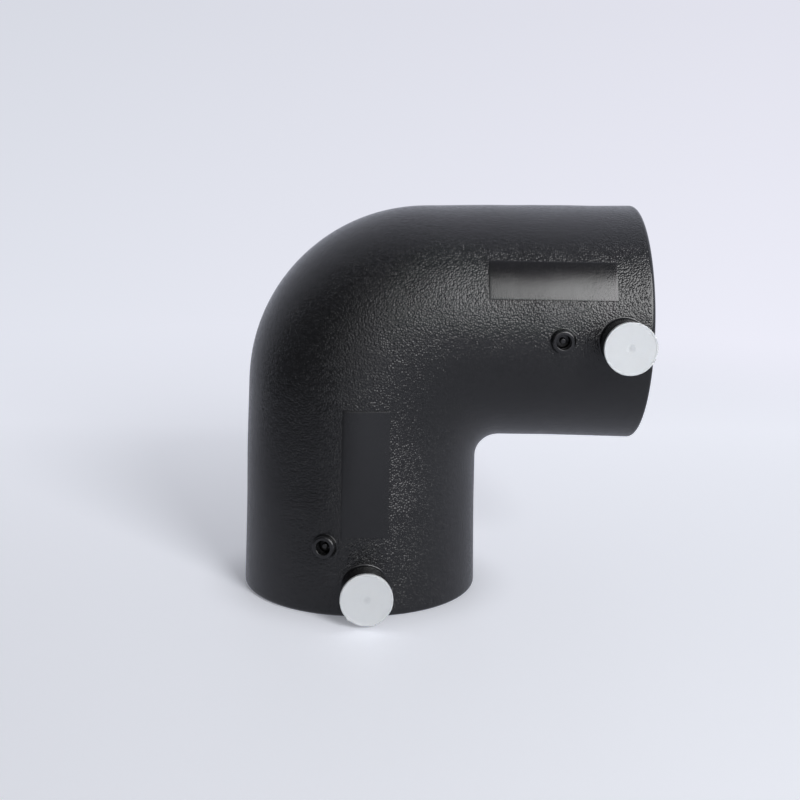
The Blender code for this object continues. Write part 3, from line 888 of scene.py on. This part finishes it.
def coil_path(arm):
    """Angles, heights and outward directions along one winding, and the quarter turn that ends it."""
    wound = np.arange(int(COIL_WOUND * WIRE_STEPS) + 1) / WIRE_STEPS
    angle = 2 * np.pi * wound - COIL_LEAD_TURN
    height = coil_start(arm) + COIL_PITCH * wound
    quarter = np.linspace(0, np.pi / 2, QUARTER_STEPS)[1:]
    reach = LINK_CORNER_R / WIRE_CENTRE_R
    straight = np.pi / 2 + 2 * np.pi * np.floor(COIL_WOUND) - reach
    angle = np.concatenate([angle, straight + reach * np.sin(quarter)])
    height = np.concatenate([height, height[-1] + LINK_CORNER_R * (1 - np.cos(quarter))])
    place = on_arm(arm, WIRE_CENTRE_R * np.cos(angle), WIRE_CENTRE_R * np.sin(angle), height)
    out = on_arm(arm, np.cos(angle), np.sin(angle), 0 * angle) - on_arm(arm, 0 * angle, 0 * angle, 0 * angle)
    return place, out


def wire_path():
    """Lower winding, a quarter circle through the back wall of the bend, and the upper winding backwards."""
    turn = np.linspace(0, np.pi / 2, LINK_STEPS)
    link = np.stack([
        LINK_BEND_R * (1 - np.cos(turn)),
        np.full(len(turn), WIRE_CENTRE_R),
        AXIS_TO_MOUTH - LINK_BEND_R * (1 - np.sin(turn)),
    ], axis=-1) + SHIFT
    back = np.broadcast_to([0, 1, 0], link.shape)
    (lower, lower_out), (upper, upper_out) = coil_path("lower"), coil_path("upper")
    return np.concatenate([lower, link, upper[::-1]]), np.concatenate([lower_out, back, upper_out[::-1]])


def tube(name, path, out):
    """Point = path + radius * (cos(a) * out + sin(a) * side), with both square to the path."""
    along = np.gradient(path, axis=0)
    along /= np.linalg.norm(along, axis=1, keepdims=True)
    out = out - (out * along).sum(axis=1, keepdims=True) * along
    out /= np.linalg.norm(out, axis=1, keepdims=True)
    side = np.cross(along, out)
    angle = np.linspace(0, 2 * np.pi, WIRE_SIDES, endpoint=False)[None, :, None]
    round_path = np.cos(angle) * out[:, None, :] + np.sin(angle) * side[:, None, :]
    return capped_solid(name, path[:, None, :] + WIRE_R * round_path)


wire = tube("copper_coil", *wire_path())
print("wire:", len(wire.data.polygons), "faces")

# %% [markdown]
# ## Finishes
# The polyethylene is black all through. What changes over the moulding is the mould's steel: etched to a
# pebble grain on the arms, and smooth on the panels, collars, wells and bores. The grain's cells are about
# three quarters of a millimetre wide. They could be sculpted, but a bump that reads the object's own
# coordinates shows them at the right size and stays put from every side.

# %% Helpers that make materials
POLYETHYLENE = (0.0065, 0.0065, 0.0070)
POLYETHYLENE_SHINE = 0.7
CELL_SIZE = 0.00074
WAVE_SIZE = 0.012
WAVE_DEPTH = 0.00010


class Recipe:
    """The nodes of a material or of the world, and a short way to add each kind that is needed here."""

    def __init__(self, owner):
        owner.use_nodes = True
        self.nodes, self.links = owner.node_tree.nodes, owner.node_tree.links

    def feed(self, socket, value):
        """Another node's output is linked to a socket. A plain value is set on it."""
        if isinstance(value, bpy.types.NodeSocket):
            self.links.new(value, socket)
        else:
            socket.default_value = value

    def pour(self, made, **values):
        """Feeds a node's inputs by name."""
        for name, value in values.items():
            self.feed(made.inputs[name.replace("_", " ")], value)
        return made

    def add(self, kind, **values):
        """A new node of a kind, with its inputs fed."""
        return self.pour(self.nodes.new("ShaderNode" + kind), **values)

    def noise(self, scale, detail):
        """A noise that reads the object's own coordinates."""
        place = self.add("TexCoord").outputs["Object"]
        return self.add("TexNoise", Vector=place, Scale=scale, Detail=detail).outputs["Fac"]

    def ranged(self, value, low, high, from_low=0.0, from_high=1.0):
        """Carries a value from one range to another. The new range's ends may come from other nodes."""
        ends = {"From_Min": from_low, "From_Max": from_high, "To_Min": low, "To_Max": high}
        return self.add("MapRange", Value=value, **ends).outputs["Result"]

    def maths(self, operation, first, second):
        """The result of an operation on two values."""
        made = self.add("Math")
        made.operation = operation
        self.feed(made.inputs[0], first)
        self.feed(made.inputs[1], second)
        return made.outputs["Value"]

    def two_colours(self, value, first, second):
        """A colour between two, by a value from 0 to 1."""
        mix = self.add("Mix")
        mix.data_type = "RGBA"
        return self.pour(mix, Factor=value, A=(*first, 1.0), B=(*second, 1.0)).outputs["Result"]

    def bump(self, height, distance, **under):
        """A bump of a real depth in metres. Normal=another lays it over that one."""
        return self.add("Bump", Height=height, Distance=distance, Strength=1.0, **under).outputs["Normal"]

    def waves(self, fine):
        """The slow waves that thick plastic shows where it shrank, laid over a fine bump."""
        return self.bump(self.noise(1 / WAVE_SIZE, 2.0), WAVE_DEPTH, Normal=fine)


def new_finish(name, colour, metallic=0.0):
    """A material, its recipe, and its shader with the plain values set on its own sockets."""
    finish = bpy.data.materials.new(name)
    recipe = Recipe(finish)
    shader = recipe.nodes["Principled BSDF"]
    return finish, recipe, recipe.pour(shader, Base_Color=(*colour, 1.0), Metallic=metallic)


# %% [markdown]
# ### Pebble grain
# Each cell of a Voronoi pattern becomes a low cone, and every cone has its own steepness. So each mirrors
# the lamp or doesn't, and the skin glitters where the lamp is near. The pits between the cones are rougher
# than their tops, and painted a little darker: painted shade in the pits. A wide, faint noise stands for the
# slow waves that thick plastic shows where it shrank.

# %% Etched polyethylene
CONE_HEIGHT = 0.00019
CONE_RANGE = (0.45, 1.45)
CONE_ROUGHNESS = (0.24, 0.15)
# The pits' colour is painted shade, darker than the tops' colour.
PIT_SHADE_COLOUR = (0.0050, 0.0050, 0.0054)
TOP_COLOUR = (0.0080, 0.0080, 0.0085)
FINE_GRAIN_SIZE = CELL_SIZE / 1.2
FINE_GRAIN_DEPTH = 0.00005


def etched_polyethylene():
    finish, recipe, shader = new_finish("etched_polyethylene", POLYETHYLENE)
    place = recipe.add("TexCoord").outputs["Object"]
    cells = recipe.add("TexVoronoi", Vector=place, Scale=1 / CELL_SIZE, Randomness=1.0)
    own = recipe.add("SeparateColor", Color=cells.outputs["Color"]).outputs["Red"]
    pit = recipe.maths("MULTIPLY", cells.outputs["Distance"], recipe.ranged(own, *CONE_RANGE))
    cone = recipe.ranged(pit, 1.0, 0.0)
    fine = recipe.bump(recipe.noise(1 / FINE_GRAIN_SIZE, 1.0), FINE_GRAIN_DEPTH)
    recipe.pour(
        shader,
        # Painted shade: the pits take a darker colour than the cones' tops.
        Base_Color=recipe.two_colours(cone, PIT_SHADE_COLOUR, TOP_COLOUR),
        Roughness=recipe.ranged(cone, *CONE_ROUGHNESS),
        Normal=recipe.bump(cone, CONE_HEIGHT, Normal=recipe.waves(fine)),
        Specular_IOR_Level=POLYETHYLENE_SHINE,
    )
    return finish


# %% [markdown]
# ### Smooth polyethylene
# Where the steel is polished the plastic has a satin gloss, never a mirror: polyethylene shrinks as it
# cools, which leaves a very fine unevenness. Two noises, one fine and one wide, give that.

# %% Polished polyethylene
SATIN_FINE = 2200.0
SATIN_FINE_DEPTH = 0.00005
SATIN_CLOUD = 300.0
SATIN_ROUGHNESS = (0.12, 0.20)


def satin_polyethylene():
    finish, recipe, shader = new_finish("satin_polyethylene", POLYETHYLENE)
    fine = recipe.bump(recipe.noise(SATIN_FINE, 2.0), SATIN_FINE_DEPTH)
    recipe.pour(
        shader,
        Roughness=recipe.ranged(recipe.noise(SATIN_CLOUD, 3.0), *SATIN_ROUGHNESS),
        Normal=recipe.waves(fine),
        Specular_IOR_Level=POLYETHYLENE_SHINE,
    )
    return finish


# %% [markdown]
# ### White caps
# The caps are a soft translucent plastic: a little light passes under the surface and comes out again. The
# colour is very slightly cloudy. Near the gate, by each point's stored share, it is painted darker: painted
# shade for the thin plastic there, through which light passes to the hollow behind.

# %% Cap plastic
CAP_LIGHT = (0.64, 0.66, 0.68)
# This dark colour serves both the cloudy tone and the painted shade at the gate.
CAP_DARK_TONE_AND_SHADE = (0.50, 0.52, 0.54)
CAP_CLOUD = 220.0
CAP_CLOUD_RANGE = (0.7, 1.0)
CAP_GATE_SHADE_RANGE = (1.0, 0.2)
CAP_FINE = 1500.0
CAP_FINE_DEPTH = 0.000008
CAP_SHEEN_CLOUD = 500.0
CAP_ROUGHNESS = (0.36, 0.5)
CAP_LIGHT_UNDER = 0.2
CAP_LIGHT_REACH = (0.0012, 0.0011, 0.001)


def cap_plastic():
    finish, recipe, shader = new_finish("cap_plastic", CAP_LIGHT)
    gate_shade_share = recipe.add("Attribute")
    gate_shade_share.attribute_name = "gate_shade_share"
    cloud = recipe.ranged(recipe.noise(CAP_CLOUD, 3.0), *CAP_CLOUD_RANGE)
    # Painted shade: the colour darkens towards the gate, on top of the cloudy tone.
    pale = recipe.maths("MULTIPLY", cloud, recipe.ranged(gate_shade_share.outputs["Fac"], *CAP_GATE_SHADE_RANGE))
    recipe.pour(
        shader,
        Base_Color=recipe.two_colours(pale, CAP_DARK_TONE_AND_SHADE, CAP_LIGHT),
        Roughness=recipe.ranged(recipe.noise(CAP_SHEEN_CLOUD, 2.0), *CAP_ROUGHNESS),
        Normal=recipe.bump(recipe.noise(CAP_FINE, 2.0), CAP_FINE_DEPTH),
        Subsurface_Weight=CAP_LIGHT_UNDER,
        Subsurface_Radius=CAP_LIGHT_REACH,
        Subsurface_Scale=1.0,
    )
    return finish


# %% [markdown]
# ### Copper and brass
# The wire is drawn bright copper, dulled a little where it was wound. The pins are turned brass, and the
# tool leaves fine marks on them.

# %% Metals
METAL_CLOUD = 700.0
METAL_ROUGHNESS = (0.22, 0.42)
MARK_DEPTH = 0.000005


def metal(name, bright, dull, marks):
    """Patches of bright and dull metal under fine marks. The more marks, the finer they are."""
    finish, recipe, shader = new_finish(name, bright, 1.0)
    cloud = recipe.noise(METAL_CLOUD, 3.0)
    recipe.pour(
        shader,
        Base_Color=recipe.two_colours(cloud, dull, bright),
        Roughness=recipe.ranged(cloud, *METAL_ROUGHNESS),
        Normal=recipe.bump(recipe.noise(marks, 2.0), MARK_DEPTH),
    )
    return finish


etched, satin, white = etched_polyethylene(), satin_polyethylene(), cap_plastic()
copper = metal("drawn_copper", (0.82, 0.44, 0.28), (0.62, 0.30, 0.18), 3000.0)
brass = metal("turned_brass", (0.80, 0.59, 0.24), (0.66, 0.46, 0.17), 4000.0)
print("finishes:", [finish.name for finish in (etched, satin, white, copper, brass)])

# %% [markdown]
# ## Finish, ride and replace
# The moulding takes two finishes. A face is etched when it is on the outside of the wall and not on the
# rounded mouth, and satin everywhere else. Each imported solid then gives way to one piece. The panels, collars
# and wells have no solid of their own, because in the CAD they are part of the moulding.

# %% Which faces are etched
ETCH_FROM_MOUTH = 0.0016


def face_centres(mesh):
    """The middle of every face, a row each."""
    centres = np.empty(len(mesh.polygons) * 3)
    mesh.polygons.foreach_get("center", centres)
    return centres.reshape(-1, 3)


def outside_faces(points):
    """Outside = further from the bore's own axis than the middle of the wall.

    On the arms the axis is a straight line. Round the bend a place counts by its distance from the middle
    of its own section, measured as a share of the way from the passage's wall to the skin.
    """
    x, y, z = (points - SHIFT).T
    lower_z, upper_z = z, AXIS_TO_MOUTH - x
    lower_out = np.hypot(x, y) > ROOT_LEVEL
    upper_out = np.hypot(z - AXIS_TO_MOUTH, y) > ROOT_LEVEL
    bend_out = np.hypot(off_middle(x, z), y / NECK_R) > (PASSAGE_R / NECK_R + 1) / 2
    out = np.where(lower_z < STRAIGHT, lower_out, np.where(upper_z < STRAIGHT, upper_out, bend_out))
    away = np.where(lower_z < STRAIGHT, lower_z, np.where(upper_z < STRAIGHT, upper_z, STRAIGHT))
    return out & (away > ETCH_FROM_MOUTH)


etched_faces = outside_faces(face_centres(moulding.data))
moulding.data.materials.clear()
moulding.data.materials.append(satin)
moulding.data.materials.append(etched)
moulding.data.polygons.foreach_set("material_index", etched_faces.astype(np.int32))
print("etched faces:", int(etched_faces.sum()), "of", len(etched_faces))


# %% Give each piece its finish and its place in the frame
def dress(thing, finish, stands_for=None):
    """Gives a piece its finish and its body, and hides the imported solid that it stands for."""
    if finish is not None:
        thing.data.materials.clear()
        thing.data.materials.append(finish)
    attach(thing, "root")
    if stands_for:
        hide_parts(stands_for)


dress(moulding, None, "elbow_body")
dress(wire, copper, "heating_wire")
for arm in PLACES:
    dress(label_panels[arm], satin)
    dress(collars[arm], satin)
    dress(wells[arm], satin)
    dress(indicators[arm], satin, "indicator_pin_" + arm)
    dress(pins[arm], brass, "terminal_pin_" + arm)
    dress(caps[arm], white, "terminal_cap_" + arm)

# %% [markdown]
# ## The camera
# The camera's place and lens come from matching the elbow's outline, its caps and its wells to the
# photograph. The photograph is squeezed sideways to two thirds, and its middle isn't the lens's middle. The
# camera here keeps the true proportions. Its shift brings the lens's middle to where the photograph has it.

# %% Camera
CAMERA_PLACE = np.array([0.00069, -0.503233, 0.169886]) + SHIFT
CAMERA_YAW, CAMERA_PITCH, CAMERA_ROLL = np.radians((2.0504, -6.1899, 1.0317))
FOCAL_PIXELS = 1218.76
IMAGE_PIXELS = 800
SENSOR = 36.0
CENTRE_PIXELS = (8.45, -91.81)
NEAREST = 0.01


def place_at(thing, right, up, back, place):
    """Gives an object three axes and a place."""
    thing.matrix_world = np.vstack([np.column_stack([right, up, back, place]), [0, 0, 0, 1]]).T.tolist()


def camera():
    """It looks along (sin yaw cos pitch, cos yaw cos pitch, sin pitch), and rolls about that."""
    eye = bpy.data.cameras.new("camera")
    eye.sensor_width = SENSOR
    eye.lens = FOCAL_PIXELS / IMAGE_PIXELS * SENSOR
    eye.shift_x = -CENTRE_PIXELS[0] / IMAGE_PIXELS
    eye.shift_y = CENTRE_PIXELS[1] / IMAGE_PIXELS
    eye.clip_start = NEAREST
    side, ahead = np.sin(CAMERA_YAW), np.cos(CAMERA_YAW)
    look = np.array([side * np.cos(CAMERA_PITCH), ahead * np.cos(CAMERA_PITCH), np.sin(CAMERA_PITCH)])
    level = np.array([ahead, -side, 0])
    right = np.cos(CAMERA_ROLL) * level + np.sin(CAMERA_ROLL) * np.cross(level, look)
    thing = linked("camera", eye)
    place_at(thing, right, np.cross(right, look), -look, CAMERA_PLACE)
    bpy.context.scene.camera = thing


camera()
bpy.context.scene.view_settings.view_transform = "Standard"
print("camera's lens, mm:", round(bpy.context.scene.camera.data.lens, 1))

# %% [markdown]
# ## The studio
# A black satin object shows what it mirrors far more than what falls on it, so the studio was worked out
# from what each place of the elbow mirrors in the photograph. Behind and to the right stands a bright
# sweep. On the left the room is nearly black. One large soft light stands in front, a little to the right.
# The table is pale, with its left side in the dark. The shaders below treat three kinds of ray apart: the
# eye's own, the mirrored, and all others, which carry the plain light.

# %% Helpers that weigh directions
def vector_maths(recipe, operation, first, *second):
    """The result of an operation on one vector or two."""
    made = recipe.add("VectorMath")
    made.operation = operation
    for socket, value in zip(made.inputs, (first, *second)):
        recipe.feed(socket, value)
    return made.outputs["Value" if operation in ("LENGTH", "DOT_PRODUCT") else "Vector"]


def smooth_range(recipe, value, low, high):
    """0 below low, 1 above high, and a smooth rise between them."""
    made = recipe.add("MapRange", Value=value, From_Min=low, From_Max=high)
    made.interpolation_type = "SMOOTHSTEP"
    return made.outputs["Result"]


def mixed(recipe, amount, first, second):
    """A blend of two shaders."""
    mix = recipe.add("MixShader")
    for socket, value in zip(mix.inputs, (amount, first, second)):
        recipe.feed(socket, value)
    return mix.outputs["Shader"]


# %% Backdrop
BACKDROP_LEFT = (0.740, 0.760, 0.835)
BACKDROP_RIGHT = (0.828, 0.832, 0.925)
BACKDROP_SIDES = (-0.30, 0.30)
BACKDROP_HEIGHTS = (-0.18, 0.13)
BACKDROP_LEVELS = (1.04, 0.92)


def backdrop(recipe, direction):
    """Its colour runs from side to side and its level from low to high, by the direction it is seen in."""
    parts = recipe.add("SeparateXYZ", Vector=direction).outputs
    across = recipe.ranged(parts["X"], 0.0, 1.0, *BACKDROP_SIDES)
    level = recipe.ranged(parts["Z"], *BACKDROP_LEVELS, *BACKDROP_HEIGHTS)
    return recipe.two_colours(across, BACKDROP_LEFT, BACKDROP_RIGHT), level


# %% Table
ROOM_TINT = (0.95, 0.98, 1.12, 1.0)
TABLE_COLOUR = (0.84, 0.86, 0.92)
TABLE_ROUGHNESS = 0.6
TABLE_FADE = (0.34, 0.90)
TABLE_GLOW = (0.31, 0.67)
TABLE_GLOW_COLOUR = (0.76, 0.78, 0.85, 1.0)
TABLE_GLOW_FROM = (-0.20, 0.32)
TABLE_PAINTED_CONTACT_SHADOW = (0.02, 0.07)
TABLE_BRIGHT_SIDE = (0.94, 0.34, 0.0)
TABLE_TURN = (-0.85, -0.36)
TABLE_NEAR = (0.15, 0.50)
TABLE_LEVELS = (0.10, 0.39, 0.54)


def table_glow(recipe, place, seen_by_eye):
    """Painted light on the paper for the eye, brighter towards the back, with a painted contact shadow round
    the foot.
    """
    depth = recipe.add("SeparateXYZ", Vector=place).outputs["Y"]
    glow = recipe.ranged(depth, *TABLE_GLOW, *TABLE_GLOW_FROM)
    glow = recipe.maths("MULTIPLY", seen_by_eye, glow)
    from_arm = vector_maths(recipe, "LENGTH", vector_maths(recipe, "SUBTRACT", place, SHIFT))
    # Painted contact shadow: the glow fades to nothing close to the lower arm's axis.
    return recipe.maths("MULTIPLY", glow, smooth_range(recipe, from_arm, *TABLE_PAINTED_CONTACT_SHADOW))


def table_for_mirrors(recipe, place, away):
    """Close by it has one level. Far off it is dark on the left and bright on the right."""
    side = vector_maths(recipe, "NORMALIZE", place)
    side = vector_maths(recipe, "DOT_PRODUCT", side, TABLE_BRIGHT_SIDE)
    dark, near, bright = TABLE_LEVELS
    distant = recipe.ranged(smooth_range(recipe, side, *TABLE_TURN), dark, bright)
    level = recipe.ranged(smooth_range(recipe, away, *TABLE_NEAR), near, distant)
    return recipe.add("Emission", Color=ROOM_TINT, Strength=level).outputs["Emission"]


def table_material():
    """Lit paper close by, the backdrop far off, and another brightness for mirrors."""
    finish, recipe, shader = new_finish("pale_table", TABLE_COLOUR)
    place = recipe.add("TexCoord").outputs["Object"]
    seen = recipe.add("LightPath").outputs
    away = vector_maths(recipe, "LENGTH", place)
    glow = table_glow(recipe, place, seen["Is Camera Ray"])
    recipe.pour(shader, Roughness=TABLE_ROUGHNESS, Emission_Color=TABLE_GLOW_COLOUR, Emission_Strength=glow)
    from_eye = vector_maths(recipe, "SUBTRACT", place, CAMERA_PLACE)
    colour, level = backdrop(recipe, vector_maths(recipe, "NORMALIZE", from_eye))
    far = recipe.add("Emission", Color=colour, Strength=level).outputs["Emission"]
    for_eye = recipe.maths("MULTIPLY", smooth_range(recipe, away, *TABLE_FADE), seen["Is Camera Ray"])
    plain = mixed(recipe, for_eye, shader.outputs["BSDF"], far)
    whole = mixed(recipe, seen["Is Glossy Ray"], plain, table_for_mirrors(recipe, place, away))
    recipe.pour(recipe.nodes["Material Output"], Surface=whole)
    return finish


# %% The table's disc
TABLE_REACH = 4.0
TABLE_RINGS = 6
TABLE_COLUMNS = 64
INNER_SHARE = 0.05


def studio_table():
    """A flat disc. Its rings' radii grow by the square."""
    angle = np.linspace(0, 2 * np.pi, TABLE_COLUMNS, endpoint=False)
    radius = TABLE_REACH * np.linspace(1, INNER_SHARE, TABLE_RINGS)[:, None] ** 2
    points = np.stack([radius * np.cos(angle), radius * np.sin(angle), 0 * radius * angle], axis=-1)
    mesh = bpy.data.meshes.new("studio_table")
    middle = list(range((TABLE_RINGS - 1) * TABLE_COLUMNS, TABLE_RINGS * TABLE_COLUMNS))
    faces = quads(TABLE_RINGS, TABLE_COLUMNS).tolist() + [middle]
    mesh.from_pydata(points.reshape(-1, 3).tolist(), [], faces)
    mesh.materials.append(table_material())
    return linked("studio_table", mesh)


studio_table()
print("the table is", 2 * TABLE_REACH, "m across")

# %% [markdown]
# ### The room
# The world is the room. For plain light it is even. For mirrors it is a ramp from the dark left to the
# bright sweep behind, with a dimmer lobe in front on the right, round the soft light.

# %% The room
AMBIENT = 0.12
AMBIENT_COLOUR = (1.0, 1.0, 1.03, 1.0)
SWEEP_SIDE = (0.45, 0.80, 0.15)
SWEEP_TURN = (-0.44, 0.60)
SWEEP_LEVELS = (0.045, 0.72)
FRONT_SIDE = (0.50, -0.85, 0.0)
FRONT_TURN = (0.35, 0.95)
FRONT_LEVEL = 0.35


def room_for_mirrors(recipe, direction):
    """The brighter of the sweep and the lobe in front, by how far each lies from the direction."""
    sweep = vector_maths(recipe, "DOT_PRODUCT", direction, SWEEP_SIDE)
    sweep = recipe.ranged(sweep, *SWEEP_LEVELS, *SWEEP_TURN)
    front = vector_maths(recipe, "DOT_PRODUCT", direction, FRONT_SIDE)
    front = recipe.maths("MULTIPLY", smooth_range(recipe, front, *FRONT_TURN), FRONT_LEVEL)
    return recipe.maths("MAXIMUM", sweep, front)


def background(recipe, colour, strength):
    """A glow that fills the world."""
    return recipe.add("Background", Color=colour, Strength=strength).outputs["Background"]


def world_room():
    """Three backgrounds: one for mirrors, one for all plain light, and one for the eye."""
    world = bpy.data.worlds.new("room")
    bpy.context.scene.world = world
    recipe = Recipe(world)
    direction = recipe.add("TexCoord").outputs["Generated"]
    seen = recipe.add("LightPath").outputs
    mirror_ray = recipe.maths("MAXIMUM", seen["Is Glossy Ray"], seen["Is Transmission Ray"])
    mirrored = background(recipe, ROOM_TINT, room_for_mirrors(recipe, direction))
    unseen = mixed(recipe, mirror_ray, background(recipe, AMBIENT_COLOUR, AMBIENT), mirrored)
    direct = background(recipe, *backdrop(recipe, direction))
    whole = mixed(recipe, seen["Is Camera Ray"], unseen, direct)
    recipe.pour(recipe.nodes["World Output"], Surface=whole)


world_room()
print("the sweep's brightness runs from", SWEEP_LEVELS[0], "to", SWEEP_LEVELS[1])

# %% [markdown]
# ### The soft lights
# The highlight on the upper panel ends sharply on the left, and a dimmer glow goes on past it over the bend.
# That is a large soft light with a bright middle: here one bright disc, and a wider dim one round its left,
# both seen by mirrors alone. A smaller disc that no mirror sees lights the caps and the table about as
# strongly as the other two would, and gives the shadow its shape.

# %% Three discs of light
LIGHT_AIM = np.array([0.02, 0.0, 0.10])
LIGHT_DISTANCE = 1.1
LIGHTS = {
    "softbox": {"turn": 32, "height": 27, "half_angle": 23, "brightness": 4.4, "mirrored": True},
    "wide_glow": {"turn": -4, "height": 26, "half_angle": 24, "brightness": 0.85, "mirrored": True},
    "key_light": {"turn": 25, "height": 22, "half_angle": 11, "brightness": 22.5, "mirrored": False},
}


def soft_light(name, turn, height, half_angle, brightness, mirrored):
    """A round lamp on a sphere about its aim, either mirrored or falling on what is matt.

    Its turn is 0 in front and grows to the right. Its radius = distance times the half angle's tangent.
    Its power = pi times its area times its brightness.
    """
    turn, height = np.radians(turn), np.radians(height)
    out = np.array([np.sin(turn) * np.cos(height), -np.cos(turn) * np.cos(height), np.sin(height)])
    right = np.array([np.cos(turn), np.sin(turn), 0])
    radius = LIGHT_DISTANCE * np.tan(np.radians(half_angle))
    lamp = bpy.data.lights.new(name, "AREA")
    lamp.shape = "DISK"
    lamp.size = 2 * radius
    lamp.energy = brightness * np.pi * np.pi * radius**2
    thing = linked(name, lamp)
    thing.visible_glossy, thing.visible_diffuse = mirrored, not mirrored
    place_at(thing, right, np.cross(out, right), out, LIGHT_AIM + LIGHT_DISTANCE * out)
    print(name, "is", round(2 * radius, 2), "m wide and has", round(lamp.energy, 1), "W")


for name, values in LIGHTS.items():
    soft_light(name, **values)
